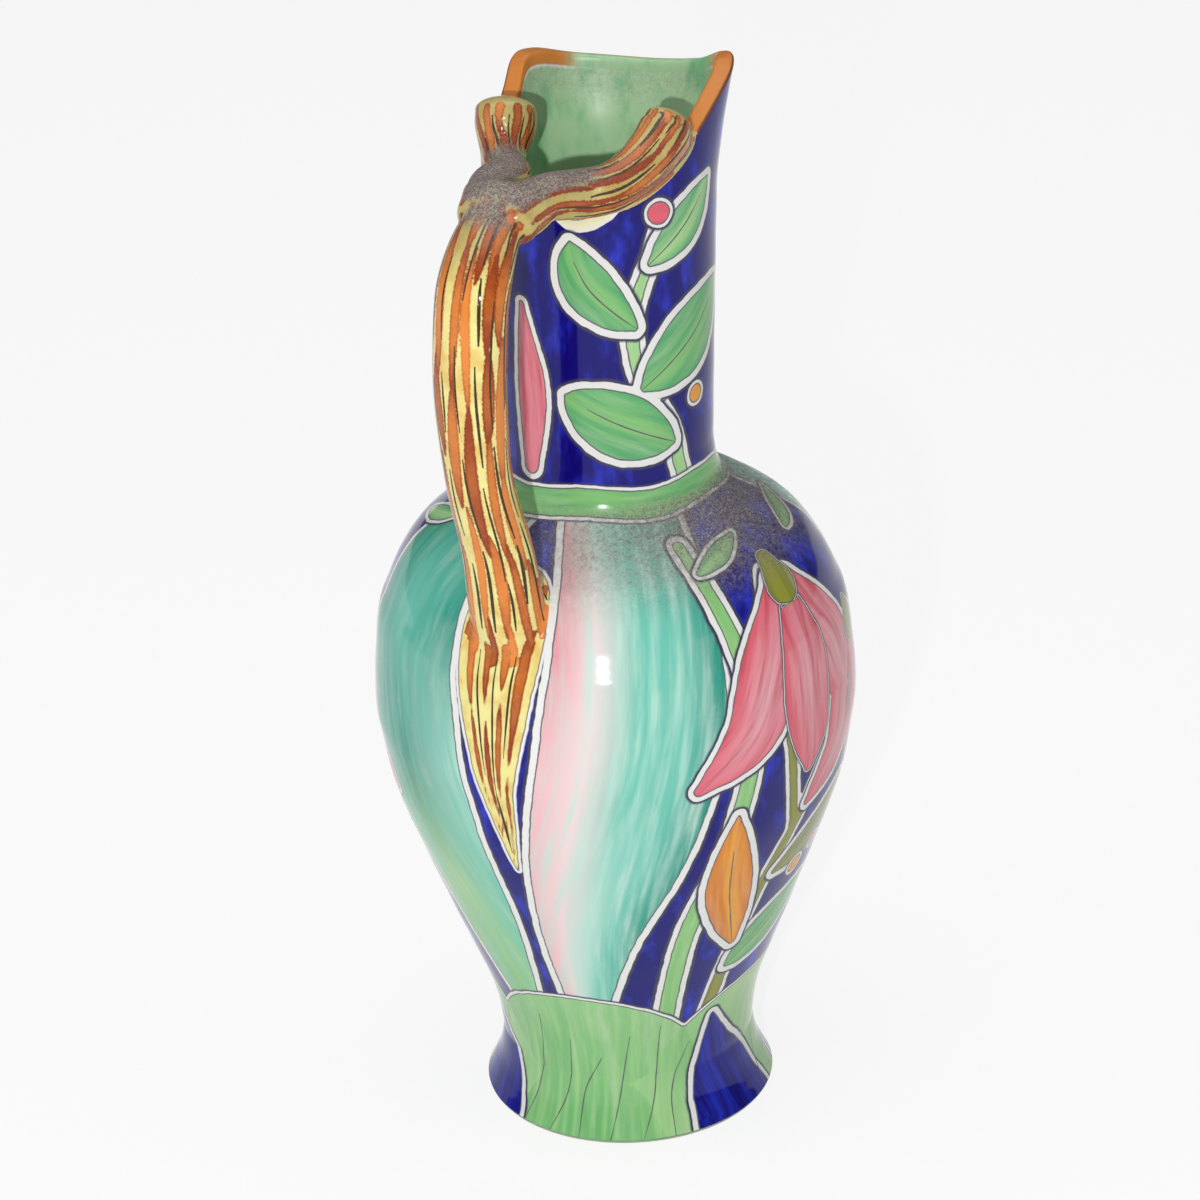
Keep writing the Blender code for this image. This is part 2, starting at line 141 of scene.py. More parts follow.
def pot_outline():
    """Outer outline from the foot's edge to the top of the coil, as radius and height."""
    flare = FOOT_RADIUS - WAIST_RADIUS
    foot_rise = WAIST_HEIGHT - FOOT_EDGE_HEIGHT
    swell = BODY_RADIUS - WAIST_RADIUS
    rise = BODY_HEIGHT - WAIST_HEIGHT
    fall = BODY_RADIUS - NECK_RADIUS
    top = SHOULDER_HEIGHT - BODY_HEIGHT
    foot = smooth_path([(WAIST_RADIUS + flare * r, FOOT_EDGE_HEIGHT + foot_rise * z)
                        for r, z in FOOT_FLARE], PATH_STEPS)
    knots = [(WAIST_RADIUS + swell * r, WAIST_HEIGHT + rise * z) for r, z in BODY_SWELL]
    knots += [(BODY_RADIUS - fall * r, BODY_HEIGHT + top * z) for r, z in SHOULDER_FALL]
    body = smooth_path(knots, PATH_STEPS)
    body = body[body[:, 1] < COIL_CURVE[0][1]]
    end = (neck_radius(180.0, COIL_TOP), COIL_TOP)
    beyond = (neck_radius(180.0, COIL_TOP + COIL_RUN_ON), COIL_TOP + COIL_RUN_ON)
    coil = smooth_path([body[-1], *COIL_CURVE, end, beyond], PATH_STEPS)[:-PATH_STEPS]
    return np.vstack([foot[:-1], body[:-1], coil])


def neck_share(height):
    return np.maximum(0.0, (height - SHOULDER_HEIGHT) / (MOUTH_HEIGHT - SHOULDER_HEIGHT))


def neck_centre(height):
    return NECK_LEAN * neck_share(height) ** NECK_LEAN_POWER


def neck_radius(angle, height):
    """Outer radius of the neck at an angle from the spout."""
    share = neck_share(height)
    ear = np.exp(-((np.abs(angle) - MOUTH_EAR_ANGLE) / MOUTH_EAR_SPREAD) ** 2)
    pull = np.maximum(0.0, (share - MOUTH_EAR_START) / (1 - MOUTH_EAR_START)) ** MOUTH_EAR_POWER
    flare = NECK_FLARE * np.minimum(NECK_FLARE_RATE * share, 1.0)
    return NECK_RADIUS + flare + MOUTH_EAR * ear * pull


MOUTH = smooth_path([(a, MOUTH_HEIGHT - s * MOUTH_SLANT) for a, s in MOUTH_CUT], 12)


def mouth_height(angle):
    return np.interp(angle, MOUTH[:, 0], MOUTH[:, 1])


def lip_thickness(angle):
    share = smoothstep(np.abs(angle), LIP_HALF_ANGLE, LIP_HALF_ANGLE + LIP_FADE)
    return LIP_THICKNESS + (WALL - LIP_THICKNESS) * share


OUTLINE = pot_outline()


def from_spout(around):
    """Turns degrees from the handle into degrees from the spout, from -180 to 180."""
    return (np.asarray(around, float) % 360) - 180


def hand_thrown(around, height):
    """The slight unevenness of a pot that was turned and pressed by hand, in metres."""
    turn = np.radians(around)
    rings = RING_DEPTH * np.sin(height * 2 * math.pi / RING_SPACING + 0.6 * np.sin(turn))
    bulge = BULGE * np.sin(2 * turn + 1.3 + 9 * height)
    bulge = bulge + SMALL_BULGE * np.sin(5 * turn + 21 * height)
    return (rings + bulge) * smoothstep(height, 0.004, 0.030)


def pot_point(around, height, inset=0.0):
    """Points on the pot's outer face, or an inset in from it."""
    around, height = np.broadcast_arrays(np.asarray(around, float), np.asarray(height, float))
    angle = from_spout(around)
    turned = np.interp(height, OUTLINE[:, 1], OUTLINE[:, 0])
    radius = np.where(height > COIL_TOP, neck_radius(angle, height), turned)
    radius = radius - inset + hand_thrown(around, height)
    turn = np.radians(angle)
    return np.stack([
        neck_centre(height) + radius * np.cos(turn),
        radius * np.sin(turn),
        height,
    ], axis=-1)


# Skins of the pot: every column runs from the foot's edge to the mouth

EVEN_TURN = np.linspace(0, 360, COLUMNS, endpoint=False) - 180
AROUND = EVEN_TURN - np.degrees(DENSER * np.sin(np.radians(EVEN_TURN)))
ANGLES = from_spout(AROUND)


def spaced(low, high):
    """Heights between two heights on the outline, evenly spaced along it."""
    inside = OUTLINE[(OUTLINE[:, 1] > low) & (OUTLINE[:, 1] < high)]
    ends = [(np.interp(h, OUTLINE[:, 1], OUTLINE[:, 0]), h) for h in (low, high)]
    path = np.vstack([ends[0], inside, ends[1]])
    run = np.r_[0, np.cumsum(np.linalg.norm(np.diff(path, axis=0), axis=1))]
    count = max(2, round(run[-1] / ROW_STEP))
    return np.interp(np.linspace(0, run[-1], count + 1), run, path[:, 1])


COIL_TOE = float(OUTLINE[np.argmax(OUTLINE[:, 1] >= COIL_CURVE[0][1]), 1])
seams = [FOOT_EDGE_HEIGHT, WAIST_HEIGHT, BODY_HEIGHT, COIL_TOE, COIL_TOP]
level_rows = [spaced(low, high) for low, high in zip(seams, seams[1:])]
row_heights = np.concatenate([rows[:-1] for rows in level_rows] + [[COIL_TOP]])
seam_rows = [int(n) for n in np.r_[0, np.cumsum([len(rows) - 1 for rows in level_rows])]]
neck_rows = max(12, round((MOUTH_HEIGHT - MOUTH_SLANT / 2 - COIL_TOP) / ROW_STEP))
climb = np.linspace(0, 1, neck_rows + 1)[1:, None]
edge_heights = mouth_height(ANGLES)[None, :] - MOUTH_ROUNDING
HEIGHTS = np.vstack([
    np.repeat(row_heights[:, None], COLUMNS, axis=1),
    COIL_TOP + climb * (edge_heights - COIL_TOP),
])
OUTER = pot_point(AROUND[None, :], HEIGHTS)


def grid_normals(points):
    """Outward normals of rows of rings."""
    across = np.roll(points, -1, axis=1) - np.roll(points, 1, axis=1)
    up = np.gradient(points, axis=0)
    normal = np.cross(across, up)
    return normal / np.linalg.norm(normal, axis=2, keepdims=True)


NORMALS = grid_normals(OUTER)


def ring(radius, height):
    """One level ring about the pot's axis at that height."""
    turn = np.radians(ANGLES)
    height = np.broadcast_to(height, turn.shape)
    return np.stack([
        neck_centre(height) + radius * np.cos(turn), radius * np.sin(turn), height], axis=-1)


def add_object(name, data):
    """A new object that stands in the scene."""
    item = bpy.data.objects.new(name, data)
    bpy.context.collection.objects.link(item)
    return item


def vertex_places(mesh):
    """The places of a mesh's vertices, one row each."""
    places = np.empty(len(mesh.vertices) * 3)
    mesh.vertices.foreach_get("co", places)
    return places.reshape(-1, 3)


def set_attribute(item, name, values):
    """A point attribute: one number, three numbers or a colour for each vertex."""
    values = np.asarray(values, np.float32)
    if values.ndim == 1:
        kind, field = "FLOAT", "value"
    elif name.endswith("colour"):
        kind, field = "FLOAT_COLOR", "color"
        values = np.hstack([values, np.ones((len(values), 1), np.float32)])
    else:
        kind, field = "FLOAT_VECTOR", "vector"
    layer = item.data.attributes.new(name, kind, "POINT")
    layer.data.foreach_set(field, values.ravel())


def pot_skin(name, first, last, inner, cap=None):
    """A closed skin: the outer rows from first to last, then the inner rings.

    A cap is the number of the inner ring before which two discs close the skin, one on each side.
    """
    rings = [*OUTER[first:last + 1], *inner]
    outer_count = last + 1 - first
    points = np.concatenate(rings)
    split = None if cap is None else outer_count + cap
    faces = []
    for row in range(len(rings)):
        if split is not None and row == split - 1:
            continue
        low = row * COLUMNS
        high = (row + 1) % len(rings) * COLUMNS
        for column in range(COLUMNS):
            after = (column + 1) % COLUMNS
            faces.append((low + column, low + after, high + after, high + column))
    if split is not None:
        faces.append([(split - 1) * COLUMNS + c for c in range(COLUMNS)])
        faces.append([split * COLUMNS + c for c in range(COLUMNS)][::-1])
    normals = np.zeros_like(points)
    normals[:outer_count * COLUMNS] = NORMALS[first:last + 1].reshape(-1, 3)
    mesh = bpy.data.meshes.new(name)
    mesh.from_pydata(points.tolist(), [], faces)
    mesh.update()
    mesh.shade_smooth()
    mesh.normals_split_custom_set_from_vertices(normals.tolist())
    return add_object(name, mesh)


# Paint: brush strokes on the pot's face

RESERVE = 3.0
GREY = 1.2
INNER_GREY = 0.55
FAR = 60.0
LAYERS = 5
NO_LINE = (FAR, FAR, 0.1)
LINE_REACH = 0.005
BLANK_LAYER = {
    "form": (FAR, RESERVE, GREY),
    "fill_colour": (0.0, 0.0, 0.0),
    "accent_colour": (0.0, 0.0, 0.0),
    "flow": (0.0, 0.0, 0.0),
}

COBALT = (11, 4, 112)
COBALT_LIGHT = (36, 54, 204)
TEAL = (18, 140, 122)
TEAL_LIGHT = (110, 196, 176)
AQUA = (178, 222, 208)
PALE_AQUA = (186, 226, 214)
PALE_PINK = (236, 214, 214)
PINK = (236, 178, 186)
ROSE = (226, 132, 146)
CREAM = (234, 228, 216)
LEAF = (134, 194, 120)
EMERALD = (52, 156, 104)
PALE_GREEN = (168, 212, 146)
BASE_GREEN = (138, 196, 130)
DEEP_GREEN = (92, 172, 100)
BLOSSOM = (230, 104, 120)
CRIMSON = (186, 24, 54)
OLIVE = (150, 152, 58)
DARK_OLIVE = (98, 102, 36)
AMBER = (238, 166, 56)
RUST = (196, 92, 34)
SLIP = (230, 230, 228)
THIN_SLIP = (228, 224, 190)
YELLOW_SLIP = (222, 216, 150)
PALE_SLIP = (232, 230, 196)
GREY_INK = (100, 99, 104)
DARK_INK = (62, 60, 84)
DUST = (158, 152, 147)
DUST_DARK = (100, 93, 88)
# Near-white of the painted glints in the dust
PAINTED_GLINT_WHITE = (235, 235, 232)
SAGE = (166, 202, 158)
SAGE_DEEP = (112, 180, 128)
ORANGE_RIM = (206, 128, 56)
BROWN_RIM = (122, 70, 42)
BARK_YELLOW = (236, 226, 148)
BARK_STRAW = (226, 192, 106)
BARK_OLIVE = (158, 134, 70)
BARK_ORANGE = (228, 138, 64)
BARK_RUST = (146, 58, 20)
BARK_INK = (66, 50, 30)
BARE_CLAY = (206, 186, 156)

strokes = []
ink_lines = []


def stroke(layer, path, fill, accent, reserve=RESERVE, grey=GREY, joined=False,
           crosswise=False, top=1000):
    """A stroke through rows of around, height in mm and half width in mm.

    The fill is one colour, or colours from its left to its right, or rows of such colours from
    its start to its end. A joined stroke grows out of the ones before it without an outline. The
    brush went along the stroke, or crosswise. Nothing of it lies above the top, in mm.
    """
    grid = np.asarray(fill, float)
    grid = linear(grid.reshape((1,) * (3 - grid.ndim) + grid.shape))
    strokes.append((layer, path, grid, linear(accent), reserve, grey, joined, crosswise, top))


def ink(path, half=0.32):
    """A thin grey line through rows of around and height in mm."""
    rows = smooth_path(path, 8)
    ink_lines.append((pot_point(rows[:, 0], rows[:, 1] * MM),
                      lambda share: half * np.sin(0.35 + 2.45 * share) ** 0.6))


def leaf(layer, foot, tip, half, bend, fill, accent, reserve=RESERVE, vein=True):
    """A pointed leaf from foot to tip, with its middle moved round the pot by the bend."""
    rows = []
    for share, width in ((0, 0.14), (0.2, 0.70), (0.46, 1.0), (0.74, 0.68), (1.0, 0.03)):
        side = bend * math.sin(math.pi * share)
        rows.append((
            foot[0] + share * (tip[0] - foot[0]) + side,
            foot[1] + share * (tip[1] - foot[1]),
            half * width,
        ))
    sides = 0.5 * (np.asarray(fill, float) + accent)
    stroke(layer, rows, [[sides, fill, fill, sides]], accent, reserve, joined=True)
    if vein:
        ink([(a, z) for a, z, _ in rows[:4]], 0.26)


def bell(around, height, size, lean, accent=CRIMSON):
    """A bell-shaped blossom of three petals that hangs from a point; the size is in mm."""
    wide = 0.50 * size
    fill = [[BLOSSOM, ROSE, BLOSSOM], [ROSE, PINK, BLOSSOM], [BLOSSOM, ROSE, BLOSSOM]]
    for side in (-1, 1):
        stroke(2, [
            (around + side * 0.06 * wide, height, 0.12 * size),
            (around + side * 0.42 * wide + 0.4 * lean, height - 0.40 * size, 0.24 * size),
            (around + side * 0.66 * wide + 0.8 * lean, height - 0.76 * size, 0.19 * size),
            (around + side * 1.16 * wide + 1.1 * lean, height - 1.06 * size, 0.03 * size),
        ], fill, accent, reserve=2.4, joined=True)
    stroke(3, [
        (around, height - 0.06 * size, 0.08 * size),
        (around + 0.4 * lean, height - 0.45 * size, 0.21 * size),
        (around + 0.8 * lean, height - 0.84 * size, 0.20 * size),
        (around + lean, height - 1.16 * size, 0.04 * size),
    ], fill, accent, reserve=0.9, grey=0.7)
    stroke(3, [
        (around, height + 0.16 * size, 0.05 * size), (around, height + 0.02 * size, 0.13 * size),
    ], OLIVE, DARK_OLIVE, reserve=0.8, grey=0.7)


def berry(layer, around, height, half, fill, accent):
    stroke(layer, [(around - 0.4, height, half), (around + 0.4, height, half)], fill, accent, 1.6)


def paint_panels():
    """Tall washes that stand round the body like leaves on end."""
    stroke(0, [(-13, 58, 7), (-18, 98, 18), (-26, 140, 28), (-33, 184, 32), (-35, 216, 27),
               (-35, 234, 22), (-34, 250, 17)],
           [[LEAF, LEAF, PALE_GREEN], [LEAF, PALE_GREEN, TEAL_LIGHT], [TEAL_LIGHT, TEAL, AQUA],
            [TEAL, TEAL_LIGHT, TEAL], [EMERALD, TEAL, TEAL_LIGHT]], TEAL_LIGHT, top=250)
    stroke(0, [(15, 60, 7), (19, 98, 17), (27, 140, 28), (34, 184, 32), (36, 216, 28),
               (36, 234, 23), (36, 250, 18)],
           [[PINK, PALE_PINK, AQUA, TEAL_LIGHT, TEAL_LIGHT],
            [PINK, PALE_PINK, AQUA, TEAL_LIGHT, TEAL],
            [PINK, PALE_PINK, TEAL_LIGHT, TEAL_LIGHT, TEAL],
            [ROSE, PALE_PINK, TEAL_LIGHT, TEAL_LIGHT, TEAL],
            [ROSE, AQUA, TEAL_LIGHT, TEAL, TEAL]], PALE_AQUA, top=250)
    stroke(0, [(128, 50, 7), (132, 100, 16), (139, 150, 27), (143, 196, 27), (142, 250, 15)],
           [[LEAF, PALE_GREEN, LEAF], [PALE_GREEN, AQUA, TEAL_LIGHT], [AQUA, TEAL_LIGHT, TEAL]],
           TEAL_LIGHT, top=250)
    stroke(0, [(-128, 50, 7), (-122, 104, 16), (-116, 150, 27), (-117, 196, 28), (-120, 250, 15)],
           [[PINK, CREAM, AQUA], [PINK, CREAM, TEAL_LIGHT], [ROSE, AQUA, TEAL_LIGHT]],
           CREAM, top=250)


def paint_ribbons():
    """Thin ribbons that wave up the body beside the panels."""
    for shift in (0, 176):
        stroke(1, [(44 + shift, 40, 2.8), (48 + shift, 92, 3.0), (56 + shift, 128, 3.2),
                   (62 + shift, 168, 3.0), (62 + shift, 204, 2.6), (56 + shift, 238, 1.8)],
               LEAF, PALE_GREEN, reserve=2.6, grey=1.4)


def paint_sprays():
    """Bells and lance leaves that hang on arched stems over the dark ground."""
    for shift in (0, 178):
        stroke(0, [(62 + shift, 40, 2.6), (69 + shift, 96, 2.4), (78 + shift, 130, 2.2),
                   (91 + shift, 164, 2.0), (98 + shift, 190, 1.8), (105 + shift, 196, 1.5)],
               OLIVE, DARK_OLIVE, reserve=2.2)
        stroke(0, [(78 + shift, 130, 1.8), (74 + shift, 168, 1.6), (73 + shift, 210, 1.5),
                   (78 + shift, 226, 1.3), (82 + shift, 221, 1.2)],
               OLIVE, DARK_OLIVE, reserve=2.2, joined=True)
        leaf(2, (66 + shift, 84), (59 + shift, 146), 9.5, -3, AMBER, RUST)
        leaf(1, (76 + shift, 112), (106 + shift, 136), 9.0, 5, OLIVE, DARK_OLIVE)
        leaf(1, (67 + shift, 72), (104 + shift, 98), 9.5, -2, LEAF, EMERALD)
        bell(109 + shift, 192, 50, 2)
        bell(83 + shift, 220, 56, -2)
        berry(3, 87 + shift, 108, 3.2, AMBER, RUST)
        berry(3, 96 + shift, 113, 2.6, BLOSSOM, CRIMSON)


def paint_base():
    """A green field with a waved top round the foot, and dark wedges at its sides."""
    rows = []
    for around in range(-180, 181, 9):
        wave = math.sin(math.radians(4 * around + 40)) + 0.5 * math.sin(math.radians(9 * around))
        rows.append((around, 22 + 2 * wave, 27 + 8 * wave))
    tones = [[BASE_GREEN, DEEP_GREEN], [PALE_GREEN, BASE_GREEN], [DEEP_GREEN, PALE_GREEN]] * 6
    stroke(3, rows, tones, PALE_GREEN, reserve=1.6, grey=1.0, crosswise=True)
    wedges = (-44, 80, 146, -128)
    for around in wedges:
        stroke(4, [(around, -4, 22), (around - 3, 12, 16), (around - 8, 28, 8),
                   (around - 13, 47, 0.3)],
               COBALT, COBALT_LIGHT, reserve=2.6)
    for index, around in enumerate(range(-170, 181, 13)):
        sway = 3 * math.sin(2.1 * index)
        tall = 40 + 8 * math.sin(1.7 * index)
        if any(abs(around + 2 - wedge) < 24 for wedge in wedges):
            continue
        ink([(around - 4, 1), (around + sway, 18), (around + 5, tall)], 0.22)


# The bark that runs down the body from the branch and tapers: around, height, half width
ROOT = (
    (0, 226, 14), (0, 216, 16), (0, 202, 14.8), (0, 186, 12.0), (0.2, 170, 8.6),
    (0.8, 157, 5.8), (2.0, 143, 3.4), (3.0, 127, 0.4),
)


def paint_neck():
    """Two climbing stems on the neck, with pairs of almond leaves and buds."""
    for shift in (0, 184):
        stroke(1, [(74 + shift, 254, 2.4), (66 + shift, 274, 2.2), (48 + shift, 296, 2.0),
                   (44 + shift, 318, 1.8), (54 + shift, 338, 1.5), (58 + shift, 350, 0.8)],
               PALE_GREEN, LEAF, reserve=2.6)
        leaf(2, (66 + shift, 270), (9 + shift, 290), 11.5, -3, LEAF, EMERALD)
        leaf(2, (51 + shift, 292), (106 + shift, 322), 11.5, 4, LEAF, EMERALD)
        leaf(2, (45 + shift, 314), (13 + shift, 345), 8.5, -8, LEAF, EMERALD)
        leaf(2, (54 + shift, 336), (92 + shift, 360), 7.0, 3, PALE_GREEN, EMERALD)
        berry(3, 58 + shift, 353, 3.6, BLOSSOM, CRIMSON)
        berry(3, 84 + shift, 284, 3.0, AMBER, RUST)
    stroke(1, [(-14, 262, 3), (-12, 290, 6), (-17, 320, 1)], ROSE, CRIMSON, reserve=2.4)
    stroke(1, [(4, 354, 0.4), (16, 350.5, 2.1), (30, 353, 1.8), (42, 359, 0.5)],
           [[YELLOW_SLIP, PALE_SLIP, SLIP]], SLIP, reserve=0, grey=0)


def paint_shoulder():
    """A green band on the coil round the neck's foot, and small sprigs under it."""
    rows = [(around, 250.5 + math.sin(math.radians(5 * around)), 4.6)
            for around in range(-180, 181, 6)]
    stroke(3, rows, LEAF, EMERALD, reserve=1.6, grey=0.8)
    for around in (66, 112, 242, 298):
        leaf(2, (around - 8, 231), (around + 14, 237), 3.6, 0, PALE_GREEN, EMERALD, 1.8, False)


paint_panels()
paint_base()
paint_ribbons()
paint_sprays()
paint_shoulder()
paint_neck()


def from_grid(grid, along, across):
    """Colours between those of a grid, by shares along from 0 to 1 and across from -1 to 1."""
    rows, columns = grid.shape[:2]
    down = np.clip(along, 0, 1) * (rows - 1)
    over = np.clip((across + 1) / 2, 0, 1) * (columns - 1)
    r0 = np.minimum(down.astype(int), max(rows - 2, 0))
    c0 = np.minimum(over.astype(int), max(columns - 2, 0))
    r1 = np.minimum(r0 + 1, rows - 1)
    c1 = np.minimum(c0 + 1, columns - 1)
    down = (down - r0)[:, None]
    over = (over - c0)[:, None]
    low = grid[r0, c0] * (1 - over) + grid[r0, c1] * over
    high = grid[r1, c0] * (1 - over) + grid[r1, c1] * over
    return low * (1 - down) + high * down


def near_path(points, normals, spine, half, reach):
    """The points near a path, with the gap to its edge, the way across and the way along."""
    low = spine.min(axis=0) - reach
    high = spine.max(axis=0) + reach
    near = np.flatnonzero(np.all((points > low) & (points < high), axis=1))
    p = points[near]
    gap = np.full(len(near), 1.0)
    side = np.zeros(len(near))
    along = np.zeros(len(near))
    share = np.zeros(len(near))
    run = 0.0
    for a, b, wa, wb in zip(spine, spine[1:], half, half[1:]):
        way = b - a
        length = max(np.linalg.norm(way), 1e-9)
        t = np.clip((p - a) @ way / length ** 2, 0, 1)
        offset = p - (a + t[:, None] * way)
        width = wa + t * (wb - wa)
        this = np.linalg.norm(offset, axis=1) - width
        closer = this < gap
        gap[closer] = this[closer]
        turned = np.einsum("ij,ij->i", np.cross(way / length, normals[near]), offset)
        side[closer] = turned[closer]
        along[closer] = (run + t * length)[closer]
        share[closer] = (turned / np.maximum(width, 1e-5))[closer]
        run += length
    return near, gap, side, along, share, run


def paint_layers(points, normals):
    """For each layer, how every point of the pot lies to its nearest stroke, with its colours."""
    layers = [{key: np.tile(blank, (len(points), 1)) for key, blank in BLANK_LAYER.items()}
              for _ in range(LAYERS)]
    for layer, path, grid, accent, reserve, grey, joined, crosswise, top in strokes:
        place = layers[layer]
        rows = smooth_path(path, 24 if max(row[2] for row in path) > 8 else 10)
        spine = pot_point(rows[:, 0], rows[:, 1] * MM)
        half = np.maximum(rows[:, 2], 0.02) * MM
        reach = half.max() + (reserve + grey + 4) * MM
        near, gap, side, along, share, run = near_path(points, normals, spine, half, reach)
        gap = np.maximum(gap, points[near, 2] - top * MM) / MM
        over = gap < place["form"][near, 0]
        if not joined:
            over |= gap < reserve + grey
        chosen = near[over]
        place["form"][chosen] = np.stack(
            [gap[over], np.full(len(chosen), reserve), np.full(len(chosen), grey)], axis=1)
        place["fill_colour"][chosen] = from_grid(grid, along[over] / run, share[over])
        place["accent_colour"][chosen] = accent
        place["flow"][chosen, :2] = np.stack([side[over], along[over]], axis=1) / MM
        if crosswise:
            turn = np.degrees(np.arctan2(points[chosen, 1], points[chosen, 0])) + 180
            place["flow"][chosen, 0] = np.abs((turn + 60) % 360 - 180) * 0.9
            place["flow"][chosen, 1] = points[chosen, 2] / MM
    return layers


def line_marks(points, normals, lines):
    """For the nearest thin line: the way to its middle, the gap and its half width, in mm."""
    marks = np.tile(NO_LINE, (len(points), 1))
    for path, width in lines:
        thin = np.full(len(path), 1e-6)
        near, gap, side, along, _, run = near_path(points, normals, path, thin, LINE_REACH)
        mark = np.stack([side / MM, gap / MM, width(along / run)], axis=1)
        closer = mark[:, 1] < marks[near, 1]
        marks[near[closer]] = mark[closer]
    return marks


DUST_STARTS = (0.2100, 0.2440)
DUST_ENDS = (0.2540, 0.2680)


def pot_dust(points, normals):
    """Dust that has settled on the shoulder and round the neck's foot, between those heights."""
    height = points[:, 2]
    around = np.degrees(np.arctan2(points[:, 1], points[:, 0])) + 180
    side = 0.50 + 0.38 * np.sin(np.radians(around - 5))
    level = smoothstep(height, *DUST_STARTS) * (1 - smoothstep(height, *DUST_ENDS))
    return level * smoothstep(normals[:, 2], 0.05, 0.65) * side


# Materials

GLAZE_IOR = 1.37
GLAZE_ROUGHNESS = 0.08
RELIEF_DEPTH = 0.0006
WOBBLE = 1.1


def node(tree, kind, **values):
    """A node with its properties, and its sockets by name or number, set."""
    made = tree.nodes.new(kind)
    for key, value in values.items():
        if key.startswith("in_"):
            key = key[3:]
            target = made.inputs[int(key)] if key.isdigit() else made.inputs[key.replace("_", " ")]
            if isinstance(value, bpy.types.NodeSocket):
                tree.links.new(value, target)
            else:
                target.default_value = value
        else:
            setattr(made, key, value)
    return made


def attribute(tree, name, output="Vector"):
    return node(tree, "ShaderNodeAttribute", attribute_name=name).outputs[output]


def parts(tree, name):
    """The three numbers of an attribute."""
    return node(tree, "ShaderNodeSeparateXYZ", in_0=attribute(tree, name)).outputs


def maths(tree, operation, *values):
    inputs = {f"in_{number}": value for number, value in enumerate(values)}
    return node(tree, "ShaderNodeMath", operation=operation, **inputs).outputs[0]


def mix(tree, share, a, b):
    """Colours mixed by a share."""
    a, b = (v if isinstance(v, bpy.types.NodeSocket) else (*linear(v), 1) for v in (a, b))
    return node(tree, "ShaderNodeMix", data_type="RGBA", in_0=share, in_6=a, in_7=b).outputs[2]


def ramp(tree, value, low, high):
    """Smoothly from 0 below low to 1 above high."""
    return node(tree, "ShaderNodeMapRange", interpolation_type="SMOOTHSTEP", in_Value=value,
                in_From_Min=low, in_From_Max=high).outputs[0]


def cloud(tree, vector, scale, detail=2.0, roughness=0.5):
    return node(tree, "ShaderNodeTexNoise", in_Vector=vector, in_Scale=scale, in_Detail=detail,
                in_Roughness=roughness).outputs["Fac"]


def stretched(tree, vector, factors):
    return node(tree, "ShaderNodeVectorMath", operation="MULTIPLY", in_0=vector,
                in_1=factors).outputs[0]


def dusted(tree, colour, amount, place):
    """Grey dust over a colour, with a few painted glints as near-white specks in it, and the
    roughness that it gives.
    """
    clumps = cloud(tree, place, 520.0, 4.0, 0.6)
    cover = maths(tree, "MULTIPLY", amount, maths(tree, "MULTIPLY_ADD", clumps, 1.5, 0.1))
    cover = ramp(tree, cover, 0.05, 0.95)
    speckle = cloud(tree, place, 1500.0, 2.0, 0.6)
    powder = mix(tree, ramp(tree, speckle, 0.38, 0.66), DUST_DARK, DUST)
    colour = mix(tree, maths(tree, "MULTIPLY", cover, 0.92), colour, powder)
    # Painted glints: a few near-white specks in the dust stand in for light caught by it
    glint_cells = node(tree, "ShaderNodeTexVoronoi", in_Vector=place, in_Scale=620.0)
    painted_glint = ramp(tree, glint_cells.outputs["Distance"], 0.16, 0.05)
    chance = node(tree, "ShaderNodeSeparateColor", in_0=glint_cells.outputs["Color"]).outputs[0]
    painted_glint = maths(tree, "MULTIPLY", painted_glint, maths(tree, "GREATER_THAN", chance, 0.80))
    painted_glint = maths(tree, "MULTIPLY", painted_glint, ramp(tree, amount, 0.40, 0.75))
    colour = mix(tree, painted_glint, colour, PAINTED_GLINT_WHITE)
    return colour, maths(tree, "MULTIPLY_ADD", cover, 0.55, GLAZE_ROUGHNESS)


def thin_line(tree, name, wobble):
    """How much the thin lines of an attribute cover a point."""
    side, gap, half = parts(tree, name)
    across = maths(tree, "SUBTRACT", maths(tree, "ABSOLUTE", side), half)
    across = maths(tree, "ADD", across, maths(tree, "MULTIPLY", wobble, 0.25))
    return maths(tree, "MULTIPLY", ramp(tree, across, 0.12, -0.06), ramp(tree, gap, 1.6, 1.1))


def bark_colour(tree, place, wobble):
    """Yellow bark under orange and rust strokes that are darker at their edges, with ink lines."""
    gap, value, olive = parts(tree, "bark_marks")
    patch = cloud(tree, place, 120.0, 3.0)
    grain = cloud(tree, place, 520.0, 3.0)
    colour = mix(tree, ramp(tree, patch, 0.40, 0.75), BARK_YELLOW, BARK_STRAW)
    colour = mix(tree, olive, colour, BARK_OLIVE)
    edge = maths(tree, "ADD", gap, wobble)
    tone = value
    pooled = ramp(tree, edge, -1.1, -0.1)
    for part, weight in ((patch, 0.5), (olive, 0.5), (grain, 0.35), (pooled, 0.38)):
        tone = maths(tree, "ADD", tone, maths(tree, "MULTIPLY", part, weight))
    paint = mix(tree, ramp(tree, tone, 0.50, 1.60), BARK_ORANGE, BARK_RUST)
    colour = mix(tree, ramp(tree, edge, 0.20, -0.35), colour, paint)
    return mix(tree, thin_line(tree, "bark_ink", wobble), colour, BARK_INK)


